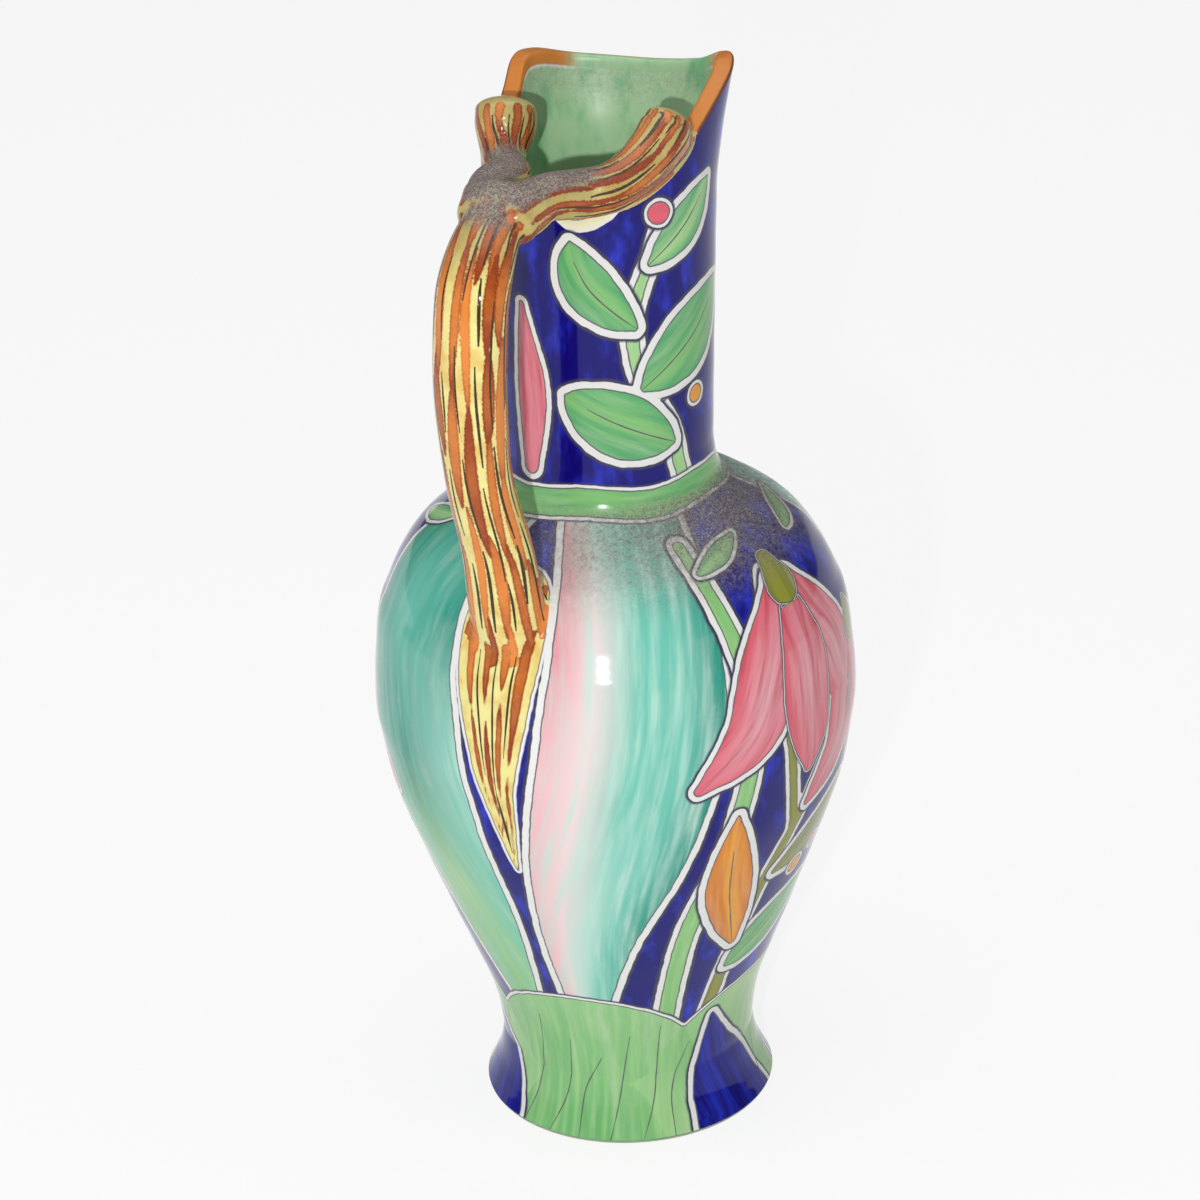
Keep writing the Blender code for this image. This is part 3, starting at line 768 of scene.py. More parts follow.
def painted_layer(tree, index, under, wobble):
    """One layer of outlined brush strokes over the colour under it."""
    gap, reserve, grey = parts(tree, f"layer{index}_form")
    fill = attribute(tree, f"layer{index}_fill_colour", "Color")
    accent = attribute(tree, f"layer{index}_accent_colour", "Color")
    flow = attribute(tree, f"layer{index}_flow")
    edge = maths(tree, "ADD", gap, wobble)
    outside = maths(tree, "SUBTRACT", edge, reserve)
    rim = maths(tree, "SUBTRACT", outside, grey)
    streaks = cloud(tree, stretched(tree, flow, (0.26, 0.022, 0.0)), 1.0, 3.0, 0.55)
    share = maths(tree, "MULTIPLY", ramp(tree, streaks, 0.36, 0.80), 0.85)
    body = mix(tree, share, fill, accent)
    pale = cloud(tree, stretched(tree, flow, (0.14, 0.03, 0.0)), 1.0, 3.0, 0.6)
    green = node(tree, "ShaderNodeSeparateColor", in_0=fill).outputs[1]
    share = maths(tree, "MULTIPLY", ramp(tree, pale, 0.45, 0.90), 0.30)
    share = maths(tree, "MULTIPLY", share, ramp(tree, green, 0.0, 0.08))
    body = mix(tree, share, body, CREAM)
    inner = maths(tree, "SUBTRACT", edge, maths(tree, "MINIMUM", grey, INNER_GREY))
    colour = mix(tree, ramp(tree, rim, 0.35, -0.75), under, DARK_INK)
    colour = mix(tree, ramp(tree, outside, 0.10, -0.2), colour, SLIP)
    colour = mix(tree, ramp(tree, inner, 0.10, -0.2), colour, GREY_INK)
    return mix(tree, ramp(tree, edge, 0.08, -0.12), colour, body)


def new_material(name):
    """A material with its tree and its shader."""
    material = bpy.data.materials.new(name)
    material.use_nodes = True
    return material, material.node_tree, material.node_tree.nodes["Principled BSDF"]


def finish_glaze(tree, shader, colour, roughness, relief, strength):
    """Colour, gloss and a slight relief for a glaze's shader."""
    tree.links.new(colour, shader.inputs["Base Color"])
    tree.links.new(roughness, shader.inputs["Roughness"])
    shader.inputs["IOR"].default_value = GLAZE_IOR
    bump = node(tree, "ShaderNodeBump", in_Height=relief, in_Strength=strength,
                in_Distance=RELIEF_DEPTH)
    tree.links.new(bump.outputs[0], shader.inputs["Normal"])


def glazed_material():
    """Painted glaze: the ground, the layers of strokes, dust and bare clay."""
    material, tree, shader = new_material("painted_glaze")
    place = tree.nodes.new("ShaderNodeTexCoord").outputs["Object"]
    streaks = cloud(tree, stretched(tree, place, (110, 110, 48)), 1.0, 3.0, 0.58)
    colour = mix(tree, ramp(tree, streaks, 0.45, 0.76), attribute(tree, "ground_colour", "Color"),
                 attribute(tree, "second_colour", "Color"))
    fine = cloud(tree, place, 190.0, 3.0, 0.5)
    wobble = maths(tree, "MULTIPLY", maths(tree, "SUBTRACT", fine, 0.5), WOBBLE)
    for index in range(LAYERS):
        colour = painted_layer(tree, index, colour, wobble)
    dust, bare, face = parts(tree, "extra")
    colour = mix(tree, thin_line(tree, "ink", wobble), colour, GREY_INK)
    root = maths(tree, "ADD", attribute(tree, "root_edge", "Fac"), wobble)
    colour = mix(tree, ramp(tree, root, 1.6, 1.0), colour, SLIP)
    colour = mix(tree, ramp(tree, root, 0.5, 0.0), colour, GREY_INK)
    colour = mix(tree, ramp(tree, root, 0.0, -0.3), colour, bark_colour(tree, place, wobble))
    colour, roughness = dusted(tree, colour, dust, place)
    matt = maths(tree, "MULTIPLY", maths(tree, "SUBTRACT", 1.0, face), 0.25)
    roughness = maths(tree, "ADD", roughness, matt)
    colour = mix(tree, bare, colour, BARE_CLAY)
    roughness = maths(tree, "MAXIMUM", roughness, maths(tree, "MULTIPLY", bare, 0.7))
    finish_glaze(tree, shader, colour, roughness, cloud(tree, place, 110.0), 0.08)
    return material


GLAZE = glazed_material()


# Finish of each pot skin: two colours, bareness and dust of its rings behind the painted face

HIDDEN_INSET = 0.0010
FOOT_EDGE_INSET = 0.0002
NECK_SOCKET_GAP = 0.0020
NECK_SOCKET_INSET = 0.0012
COIL_TOP_GAP = 0.0005
RIM_DROPS = (0.0012, 0.0030, 0.0036)
INNER_ROWS = 30
RIM_BLEND = 0.16
NECK_DUST = 0.45
NECK_DUST_FADES = (0.02, 0.22)
LOWER_INNER_HEIGHTS = (
    BODY_HEIGHT, 0.150, 0.125, 0.100, 0.075, 0.050, 0.035, WAIST_HEIGHT + 0.004,
)
UPPER_INNER_HEIGHTS = (0.2385, 0.234, 0.226, 0.212, 0.195, BODY_HEIGHT + 0.0002)
GREEN_INSIDE = (SAGE, SAGE_DEEP, 0.0, 0.0)
BARE_UNDERSIDE = (BARE_CLAY, BARE_CLAY, 1.0, 0.0)

at_spout = 1 - smoothstep(np.abs(ANGLES), LIP_HALF_ANGLE - 6, LIP_HALF_ANGLE + 8)


def dress(item, first, last, rest=None, lip_rows=None):
    """Paint one pot skin; rest gives two colours, bareness and dust for its other rings."""
    total = len(item.data.vertices)
    outer = OUTER[first:last + 1].reshape(-1, 3)
    normals = NORMALS[first:last + 1].reshape(-1, 3)
    rest = rest or [GREEN_INSIDE] * ((total - len(outer)) // COLUMNS)

    def full(values, others):
        return np.vstack([values, np.tile(others, (total - len(values), 1))])

    for number, name, face, green in ((0, "ground_colour", COBALT, SAGE),
                                      (1, "second_colour", COBALT_LIGHT, SAGE_DEEP)):
        inner = np.repeat([linear(row[number]) for row in rest], COLUMNS, axis=0)
        if lip_rows:
            lip = inner.reshape(-1, COLUMNS, 3)[slice(*lip_rows)]
            lip += at_spout[:, None] * (linear(green) - lip)
        set_attribute(item, name, np.vstack([np.tile(linear(face), (len(outer), 1)), inner]))
    extra = np.stack([pot_dust(outer, normals), 0 * outer[:, 0], 0 * outer[:, 0] + 1], axis=1)
    others = np.repeat([(dust, bare, 0.0) for _, _, bare, dust in rest], COLUMNS, axis=0)
    set_attribute(item, "extra", np.vstack([extra, others]))
    set_attribute(item, "ink", full(line_marks(outer, normals, ink_lines), NO_LINE))
    for index, layer in enumerate(paint_layers(outer, normals)):
        for key, blank in BLANK_LAYER.items():
            set_attribute(item, f"layer{index}_{key}", full(layer[key], blank))
    item.data.materials.append(GLAZE)
    return item


def make_foot():
    floor = FOOT_RECESS_DEPTH + FLOOR_THICKNESS
    inner = WAIST_RADIUS - WALL
    inside = [
        ring(WAIST_RADIUS - HIDDEN_INSET, WAIST_HEIGHT - SEAT_GAP),
        ring(inner, WAIST_HEIGHT - SEAT_GAP),
        ring((inner + FLOOR_RADIUS) / 2, floor + FLOOR_COVE_HEIGHT),
        ring(FLOOR_RADIUS, floor),
        ring(FLOOR_RADIUS / 2, floor),
        ring(FOOT_RECESS_RADIUS / 2, FOOT_RECESS_DEPTH),
        ring(FOOT_RECESS_RADIUS - FOOT_RECESS_DEPTH, FOOT_RECESS_DEPTH),
        ring(FOOT_RECESS_RADIUS, 0),
        ring(FOOT_RADIUS - FOOT_EDGE_HEIGHT / 2, 0),
        ring(FOOT_RADIUS - FOOT_EDGE_INSET, FOOT_EDGE_HEIGHT / 2),
    ]
    item = pot_skin("foot_skin", seam_rows[0], seam_rows[1], inside, 5)
    rest = [GREEN_INSIDE] * 5 + [BARE_UNDERSIDE] * 4 + [(BASE_GREEN, LEAF, 0.3, 0.0)]
    return dress(item, seam_rows[0], seam_rows[1], rest)


def make_turned(name, index, inner_heights):
    """A turned piece of the body between two seams."""
    first, last = seam_rows[index], seam_rows[index + 1]
    inside = [pot_point(AROUND, np.full(COLUMNS, height), WALL) for height in inner_heights]
    return dress(pot_skin(name, first, last, inside), first, last)


def make_coil():
    first, last = seam_rows[3], seam_rows[4]
    inside = [
        ring(NECK_RADIUS - HIDDEN_INSET, COIL_TOP - COIL_TOP_GAP),
        ring(NECK_RADIUS - HIDDEN_INSET, COIL_TOE - HIDDEN_INSET),
        ring(COIL_CURVE[0][0] - HIDDEN_INSET, COIL_TOE - HIDDEN_INSET),
    ]
    return dress(pot_skin("neck_coil_skin", first, last, inside), first, last)


def make_neck():
    first, last = seam_rows[-1], len(OUTER) - 1
    top = mouth_height(ANGLES)
    lip = lip_thickness(ANGLES)

    def rounded(turn, inner):
        """A ring on the lip's rounded outer or inner edge."""
        t = math.radians(turn)
        inset = MOUTH_ROUNDING * (1 - math.cos(t))
        height = top - MOUTH_ROUNDING * (1 - math.sin(t))
        return pot_point(AROUND, height, lip - inset if inner else inset)

    rings = [rounded(turn, False) for turn in (30, 60, 90)]
    for share in (0.25, 0.5, 0.75):
        rings.append(pot_point(AROUND, top, MOUTH_ROUNDING + share * (lip - 2 * MOUTH_ROUNDING)))
    rings += [rounded(turn, True) for turn in (90, 60, 30, 0)]
    rest = [(BROWN_RIM, BROWN_RIM, 0.0, 0.0)] * 2 + [(ORANGE_RIM, RUST, 0.0, 0.0)] * 8
    # Painted highlight: the pale ring where the orange band inside the lip meets the green stands
    # in for the bright line along that edge
    rest += [(ORANGE_RIM, RUST, 0.0, 0.15), (ORANGE_RIM, RUST, 0.0, 0.30), (SLIP, SLIP, 0.0, 0.40)]
    for drop in RIM_DROPS:
        rings.append(pot_point(AROUND, top - MOUTH_ROUNDING - drop, lip))
    bottom = SHOULDER_HEIGHT + NECK_SOCKET_GAP
    for share in np.linspace(0, 1, INNER_ROWS + 1)[1:]:
        height = top - MOUTH_ROUNDING + share * (bottom - top + MOUTH_ROUNDING)
        inset = lip + (WALL - lip) * smoothstep(share, 0.0, RIM_BLEND)
        rings.append(pot_point(AROUND, height, inset))
        dust = NECK_DUST * (1 - smoothstep(share, *NECK_DUST_FADES))
        rest.append((SAGE, SAGE_DEEP, 0.0, dust))
    rest += [GREEN_INSIDE] * 2
    for height in (bottom, COIL_TOP - HIDDEN_INSET):
        rings.append(pot_point(AROUND, np.full(COLUMNS, height), NECK_SOCKET_INSET))
    item = pot_skin("neck_skin", first, last, rings)
    return dress(item, first, last, rest, (4, 13))


pieces = {
    "foot": make_foot(),
    "lower_body": make_turned("lower_body_skin", 1, LOWER_INNER_HEIGHTS),
    "upper_body": make_turned("upper_body_skin", 2, UPPER_INNER_HEIGHTS),
    "neck_coil": make_coil(),
    "neck": make_neck(),
}
for node_name, item in pieces.items():
    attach(item, "root")
    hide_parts(node_name)


def root_distance(points):
    """How far points lie outside the painted root, in mm."""
    rows = smooth_path(ROOT, 10)
    spine = pot_point(rows[:, 0], rows[:, 1] * MM)
    near, gap, *_ = near_path(points, np.zeros_like(points), spine, rows[:, 2] * MM, 0.02)
    far = np.full(len(points), float(FAR))
    far[near] = gap / MM
    return far


def paint_root(item, paint, lines):
    """The painted root's attributes on one pot skin."""
    points = vertex_places(item.data)
    set_attribute(item, "root_edge", root_distance(points))
    set_bark(item, points, unit(points * (1, 1, 0) + (1e-9, 0, 0)), paint, lines)


# The branch: tubes that melt into each other and into the pot

HANDLE_REACH = BODY_RADIUS + 0.0008
HANDLE_BELLY_HEIGHT = 0.3050
ROOT_REACH = BODY_RADIUS - 0.0157
ROOT_HEIGHT = 0.2220
ROOT_TAIL = 0.0160
ROOT_TAIL_TURN = 0.0050
ROOT_SPLIT_HEIGHT = ROOT_HEIGHT + 0.0040
FORK_REACH = 0.0600
FORK_DROP = 0.0325
FORK_HEIGHT = MOUTH_HEIGHT - FORK_DROP
TRUNK_HALF_WIDTH = 0.0131
TRUNK_HALF_DEPTH = 0.0100
TRUNK_RISE = (
    (0.00, 0.00, 1.08, 1.10), (0.30, 0.31, 1.00, 1.04),
    (0.84, 0.66, 0.92, 0.98), (1.00, 1.00, 0.98, 1.00),
)
TRUNK_BEND = (
    (0.06, 0.36, 1.00, 1.00), (0.20, 0.66, 1.00, 0.98),
    (0.55, 0.90, 1.02, 0.95), (1.00, 1.00, 1.05, 0.90),
)
TWIG_HALF_WIDTH = 0.0085
TWIG_TIP_DROP = 0.0145
TWIG_SPLAY = 0.0071
TWIG_FLATNESS = 0.95
FORK_LIFT = 0.0032
TWIG_START = (
    (-0.004, 0.8, 0.0, 0.95), (0.0, 1.0, 0.5, 1.0), (TWIG_HALF_WIDTH, 1.5, 1.0, 1.0),
)
LEFT_TWIG = (
    (165, 1.05, 0.16, 1.00), (154, 0.46, 0.22, 0.94), (143, 0.00, 0.36, 0.98),
    (134, -0.31, 0.70, 1.28), (130, -0.42, 1.00, 1.30),
)
RIGHT_TWIG = (
    (-159, 1.16, 0.06, 1.00), (-148, 0.93, 0.12, 0.98), (-137, 0.58, 0.30, 0.98),
    (-125, 0.22, 0.60, 1.04), (-116, 0.00, 0.88, 1.10), (-112, -0.09, 1.06, 0.98),
)
TUBE_STEPS = 12
CROTCH = 0.0120
FILLET = 0.0045
ROOT_FILLET = 0.0022
SINK = 0.00015
BITE = 0.0020
BLOCK = 4
CELL = 0.0008
POINTS_AT_ONCE = 20000
END_BLUNTNESS = 2.2
TRUNK_TAPER = 0.22
TRUNK_TAPER_STEPS = 2.2 * TUBE_STEPS
TWIG_TAPER = 0.16
TWIG_TAPER_STEPS = 3.4 * TUBE_STEPS
NECK_SLOPE = 0.03
MOUTH_STEEPNESS = 0.9
FILLET_GROWS = (0.235, 0.300)
BRANCH_LOW = np.array([-0.1035, -0.0530, 0.1960])
BRANCH_HIGH = np.array([0.0300, 0.0480, 0.4000])
GRADIENT_STEP = 0.0002
NEAR_SURFACE = 1.6 * BLOCK * CELL
SETTLING_ROUNDS = 3


def unit(vectors):
    return vectors / np.linalg.norm(vectors, axis=-1, keepdims=True)


def tube(centres, half_side, half_lift, side=None):
    """A tube's stations: places, axes, half sizes and how far along each one is."""
    ahead = unit(np.gradient(centres, axis=0))
    if side is None:
        side = unit(np.cross(ahead, (0, 0, 1)))
    else:
        side = np.tile(side, (len(centres), 1))
    lift = np.cross(side, ahead)
    run = np.r_[0, np.cumsum(np.linalg.norm(np.diff(centres, axis=0), axis=1))]
    return {"centres": centres, "ahead": ahead, "side": side, "lift": lift,
            "half_side": half_side, "half_lift": half_lift, "run": run}


def make_trunk_tube():
    rise = HANDLE_BELLY_HEIGHT - ROOT_HEIGHT
    bend = FORK_HEIGHT - HANDLE_BELLY_HEIGHT
    way_out = HANDLE_REACH - ROOT_REACH
    way_in = HANDLE_REACH - FORK_REACH
    knots = [(-ROOT_REACH + ROOT_TAIL_TURN, ROOT_HEIGHT - ROOT_TAIL, 1.12, 1.10)]
    for out, up, width, depth in TRUNK_RISE:
        knots.append((-ROOT_REACH - out * way_out, ROOT_HEIGHT + up * rise, width, depth))
    for turned, up, width, depth in TRUNK_BEND:
        knots.append((-HANDLE_REACH + turned * way_in, HANDLE_BELLY_HEIGHT + up * bend,
                      width, depth))
    path = smooth_path(knots, TUBE_STEPS)
    steps = np.arange(len(path))
    late = smoothstep(steps, steps[-1] - TRUNK_TAPER_STEPS, steps[-1])
    path[:, 2:] *= 1 - TRUNK_TAPER * late[:, None]
    centres = np.stack([path[:, 0], np.zeros(len(path)), path[:, 1]], axis=1)
    return tube(centres, TRUNK_HALF_WIDTH * path[:, 2], TRUNK_HALF_DEPTH * path[:, 3], (0, 1, 0))


def make_twig_tube(sign, lie):
    climb_height = FORK_DROP - TWIG_TIP_DROP
    knots = [
        (-FORK_REACH + on, sign * splay * TWIG_SPLAY, FORK_HEIGHT + lift * FORK_LIFT, half)
        for on, splay, lift, half in TWIG_START
    ]
    for angle, out, share, half in lie:
        inset = WALL / 2 - out * TWIG_HALF_WIDTH
        height = FORK_HEIGHT + share * climb_height
        knots.append((*pot_point(angle + 180, height, inset), half))
    path = smooth_path(knots, TUBE_STEPS)
    slim = 1 - TWIG_TAPER * (1 - smoothstep(np.arange(len(path)), 0, TWIG_TAPER_STEPS))
    half = TWIG_HALF_WIDTH * path[:, 3] * slim
    return tube(path[:, :3], half * TWIG_FLATNESS, half)


TUBES = [make_trunk_tube(), make_twig_tube(1, LEFT_TWIG), make_twig_tube(-1, RIGHT_TWIG)]


def tube_distance(points, shape):
    """Roughly how far points lie outside a tube, in metres."""
    centres = shape["centres"]
    far = np.empty(len(points))
    for start in range(0, len(points), POINTS_AT_ONCE):
        p = points[start:start + POINTS_AT_ONCE]
        gaps = ((p[:, None, :] - centres[None, :, :]) ** 2).sum(axis=2)
        nearest = gaps.argmin(axis=1)
        along = np.einsum("ij,ij->i", p - centres[nearest], shape["ahead"][nearest])
        other = np.clip(nearest + np.where(along >= 0, 1, -1), 0, len(centres) - 1)
        length = np.abs(shape["run"][other] - shape["run"][nearest])
        t = np.clip(np.abs(along) / np.maximum(length, 1e-6), 0, 1)
        t = np.where(other == nearest, 0, t)

        def between(key):
            values = shape[key]
            share = t if values.ndim == 1 else t[:, None]
            return values[nearest] * (1 - share) + values[other] * share

        offset = p - between("centres")
        half_side = between("half_side")
        half_lift = between("half_lift")
        u = np.einsum("ij,ij->i", offset, between("side"))
        v = np.einsum("ij,ij->i", offset, between("lift"))
        w = np.where(other == nearest, END_BLUNTNESS * along, 0)
        k0 = np.sqrt((u / half_side) ** 2 + (v / half_lift) ** 2 + (w / half_lift) ** 2)
        k1 = np.sqrt((u / half_side ** 2) ** 2 + (v / half_lift ** 2) ** 2
                     + (w / half_lift ** 2) ** 2)
        far[start:start + POINTS_AT_ONCE] = k0 * (k0 - 1) / np.maximum(k1, 1e-6)
    return far


def melted(a, b, size):
    """The nearer of two distances, with a rounded hollow between them."""
    share = np.maximum(size - np.abs(a - b), 0) / size
    return np.minimum(a, b) - share * share * size / 4


def pot_distance(points):
    """Roughly how far points lie outside the pot's outer face."""
    height = points[:, 2]
    offset = points[:, 0] - neck_centre(height)
    radius = np.hypot(offset, points[:, 1])
    angle = np.degrees(np.arctan2(points[:, 1], offset))
    skin = np.interp(height, OUTLINE[:, 1], OUTLINE[:, 0])
    slope = np.interp(height, OUTLINE[:, 1], np.gradient(OUTLINE[:, 0], OUTLINE[:, 1]))
    skin = np.where(height > COIL_TOP, neck_radius(angle, height), skin)
    slope = np.where(height > COIL_TOP, NECK_SLOPE, slope)
    return (radius - skin - hand_thrown(angle + 180, height)) / np.sqrt(1 + slope ** 2)


def wall_distance(points):
    """Roughly how far points lie outside the pot's wall, open at the mouth."""
    outside = pot_distance(points)
    height = points[:, 2]
    offset = points[:, 0] - neck_centre(height)
    angle = np.degrees(np.arctan2(points[:, 1], offset))
    inside = -outside - lip_thickness(angle)
    above = (height - mouth_height(angle)) * MOUTH_STEEPNESS
    return np.maximum(np.maximum(outside, inside), above)


def branch_distance(points):
    """The branch melted together, and its fillets onto the pot, hollowed over the pot's wall."""
    branch = melted(melted(tube_distance(points, TUBES[1]), tube_distance(points, TUBES[2]),
                           CROTCH), tube_distance(points, TUBES[0]), CROTCH)
    wall = wall_distance(points)
    low = 1 - smoothstep(points[:, 2], *FILLET_GROWS)
    fillet = FILLET + (ROOT_FILLET - FILLET) * low
    joined = melted(branch, wall + SINK, fillet)
    return np.maximum(np.maximum(joined, -(wall + BITE)), branch - fillet)


def branch_gradient(points):
    axes = np.eye(3) * GRADIENT_STEP
    return np.stack([
        (branch_distance(points + axis) - branch_distance(points - axis)) / (2 * GRADIENT_STEP)
        for axis in axes], axis=1)


def branch_surface():
    """Points and quads on the branch's surface, by surface nets on a grid of cells."""
    low = BRANCH_LOW
    blocks = np.ceil((BRANCH_HIGH - low) / (BLOCK * CELL)).astype(int)
    counts = blocks * BLOCK
    centre = np.stack(np.meshgrid(*[
        low[i] + (np.arange(blocks[i]) + 0.5) * BLOCK * CELL - CELL / 2 for i in range(3)
    ], indexing="ij"), axis=-1).reshape(-1, 3)
    coarse = branch_distance(centre).reshape(blocks)
    field = np.repeat(np.repeat(np.repeat(coarse, BLOCK, 0), BLOCK, 1), BLOCK, 2)
    close = np.abs(field) < NEAR_SURFACE
    index = np.argwhere(close)
    field[close] = branch_distance(low + index * CELL)
    inside = field < 0
    shape = np.array(counts) - 1
    total = np.zeros((*shape, 3))
    number = np.zeros(shape)
    corners = [(i, j, k) for i in (0, 1) for j in (0, 1) for k in (0, 1)]

    def part(array, corner):
        i, j, k = corner
        return array[i:i + shape[0], j:j + shape[1], k:k + shape[2]]

    for a in corners:
        for axis in range(3):
            if a[axis]:
                continue
            b = tuple(c + (n == axis) for n, c in enumerate(a))
            fa, fb = part(field, a), part(field, b)
            crossing = part(inside, a) != part(inside, b)
            t = np.where(crossing, fa / np.where(crossing, fa - fb, 1), 0)
            for n in range(3):
                place = a[n] + (t if n == axis else 0)
                total[..., n] += np.where(crossing, place, 0)
            number += crossing
    used = number > 0
    names = np.full(shape, -1)
    names[used] = np.arange(used.sum())
    cells = np.argwhere(used)
    points = low + (cells + total[used] / number[used][:, None]) * CELL
    faces = []
    for axis in range(3):
        one, two = (axis + 1) % 3, (axis + 2) % 3
        ahead = [slice(None)] * 3
        ahead[axis] = slice(1, None)
        behind = [slice(None)] * 3
        behind[axis] = slice(0, -1)
        first, second = inside[tuple(behind)], inside[tuple(ahead)]
        found = np.argwhere(first != second)
        keep = np.all([(found[:, n] >= 1) & (found[:, n] < shape[n]) for n in (one, two)], axis=0)
        found = found[keep]
        quad = []
        for da, db in ((0, 0), (-1, 0), (-1, -1), (0, -1)):
            cell = found.copy()
            cell[:, one] += da
            cell[:, two] += db
            quad.append(names[tuple(cell.T)])
        quad = np.stack(quad, axis=1)
        outward = first[tuple(found.T)]
        quad[~outward] = quad[~outward][:, ::-1]
        faces.append(quad)
    faces = np.concatenate(faces)
    faces = faces[(faces >= 0).all(axis=1)]
    for _ in range(SETTLING_ROUNDS):
        slope = branch_gradient(points)
        step = branch_distance(points)[:, None] * slope
        step /= np.maximum((slope ** 2).sum(axis=1, keepdims=True), 0.2)
        far = np.linalg.norm(step, axis=1, keepdims=True)
        points = points - step * np.minimum(1, 0.5 * CELL / np.maximum(far, 1e-9))
    return points, faces


def cut_half(builder, place, way):
    """Keep the half behind a plane, and close the cut."""
    cut = bmesh.ops.bisect_plane(
        builder, geom=builder.verts[:] + builder.edges[:] + builder.faces[:],
        plane_co=place, plane_no=way, clear_outer=True)
    rim = [item for item in cut["geom_cut"] if isinstance(item, bmesh.types.BMEdge)]
    if rim:
        bmesh.ops.holes_fill(builder, edges=rim, sides=0)


def branch_piece(name, surface, cuts):
    """The part of the branch's surface that lies behind all the given planes."""
    builder = bmesh.new()
    builder.from_mesh(surface)
    for place, way in cuts:
        cut_half(builder, place, way)
    mesh = bpy.data.meshes.new(name)
    builder.to_mesh(mesh)
    builder.free()
    mesh.shade_smooth()
    points = vertex_places(mesh)
    mesh.normals_split_custom_set_from_vertices(unit(branch_gradient(points)).tolist())
    return add_object(name, mesh), points


def make_branch():
    """The branch's four pieces, by the names of the nodes that they replace."""
    points, faces = branch_surface()
    surface = bpy.data.meshes.new("branch_surface")
    surface.from_pydata(points.tolist(), [], faces.tolist())
    surface.update()
    fork = (-FORK_REACH, 0, 0)
    root = (0, 0, ROOT_SPLIT_HEIGHT)
    above_root = (root, (0, 0, -1))
    past_fork = (fork, (-1, 0, 0))
    cuts = {
        "root_coil": [(root, (0, 0, 1))],
        "handle_trunk": [above_root, (fork, (1, 0, 0))],
        "twig_left": [past_fork, ((0, 0, 0), (0, -1, 0)), above_root],
        "twig_right": [past_fork, ((0, 0, 0), (0, 1, 0)), above_root],
    }
    made = {name: branch_piece(f"{name}_skin", surface, planes) for name, planes in cuts.items()}
    bpy.data.meshes.remove(surface)
    return made


# Bark: long strokes down the branch, with ink lines between them

STROKE_PITCH = 0.0054
TWIG_STROKE_PITCH = 0.0044
STROKE_PITCHES = (STROKE_PITCH, TWIG_STROKE_PITCH, TWIG_STROKE_PITCH)
STROKE_DEPTH = 0.0030
STROKE_STEPS = 11
STROKE_SWELL = np.sin(np.linspace(0.12, 3.02, STROKE_STEPS)) ** 0.55
STROKE_LENGTHS = (0.026, 0.058)
STROKE_OVERLAPS = (0.000, 0.010)
STROKE_WIDTH_SHARES = (0.30, 0.46)
INK_STEPS = 9
INK_LENGTHS = (0.014, 0.042)
INK_GAPS = (0.002, 0.016)
INK_HALF_WIDTHS = (0.00034, 0.00068)
ROOT_INK_HALF_WIDTHS = (0.00032, 0.00056)
SEED = 7


def on_tube(shape, run, turn):
    """Points on a tube's surface, by how far along and how far round in degrees."""
    def at(key):
        values = shape[key]
        if values.ndim == 1:
            return np.interp(run, shape["run"], values)
        return np.stack([np.interp(run, shape["run"], values[:, n]) for n in range(3)], axis=1)

    t = np.radians(turn)
    across = at("side") * (at("half_side") * np.cos(t))[:, None]
    return at("centres") + across + at("lift") * (at("half_lift") * np.sin(t))[:, None]


def tube_columns():
    """Each tube with the width and the number of its columns of strokes, and each column."""
    for shape, pitch in zip(TUBES, STROKE_PITCHES):
        girth = math.pi * (shape["half_side"].mean() + shape["half_lift"].mean())
        columns = round(girth / pitch)
        for column in range(columns):
            yield shape, girth / columns, columns, column


def waved(rng, shape, run, column, columns, stray, sway, waves):
    """A line along a tube that strays from its column and sways by some degrees."""
    turn = 360 * (column + rng.uniform(-stray, stray)) / columns
    turn = turn + sway * np.sin(np.linspace(0, waves, len(run)) + rng.uniform(0, 6))
    return on_tube(shape, run, turn)


def tapered(half):
    """The half width in mm at a share of a line, from half widths in metres at even steps."""
    return lambda share: np.interp(share, np.linspace(0, 1, len(half)), half) / MM


def bark_strokes(rng):
    """Seeded strokes along the tubes: points and half widths in metres, and a tone."""
    made = []
    for shape, width, columns, column in tube_columns():
        start = -0.004 - rng.uniform(0, 0.03)
        while start < shape["run"][-1]:
            length = rng.uniform(*STROKE_LENGTHS)
            run = np.linspace(start, start + length, STROKE_STEPS)
            path = waved(rng, shape, run, column, columns, 0.12, 5, 2.4)
            half = width * rng.uniform(*STROKE_WIDTH_SHARES) * STROKE_SWELL
            made.append((path, half, rng.uniform(0, 1)))
            start += length - rng.uniform(*STROKE_OVERLAPS)
    return made


def ink_strokes(rng):
    """Seeded thin dark lines between the strokes, never near each other."""
    made = []
    for shape, _, columns, column in tube_columns():
        end = shape["run"][-1]
        start = 0.014 + rng.uniform(0, 0.02)
        while start < end - 0.006:
            length = rng.uniform(*INK_LENGTHS)
            run = np.linspace(start, min(start + length, end + 0.004), INK_STEPS)
            path = waved(rng, shape, run, column + 0.5, columns, 0.14, 3, 2.2)
            half = np.sin(np.linspace(0.3, 2.9, INK_STEPS)) ** 0.5
            made.append((path, tapered(rng.uniform(*INK_HALF_WIDTHS) * half)))
            start += length + rng.uniform(*INK_GAPS)
    return made


def set_bark(item, points, normals, paint, lines, olive=0.0):
    """The attributes that the bark's colour reads."""
    edge, tone, along = nearest_stroke(points, normals, paint)
    ends = np.abs(along - 0.5) * 2
    marks = np.stack([edge, 0.8 * tone + 0.45 * ends ** 2, 0 * edge + olive], axis=1)
    set_attribute(item, "bark_marks", marks)
    set_attribute(item, "bark_ink", line_marks(points, normals, lines))


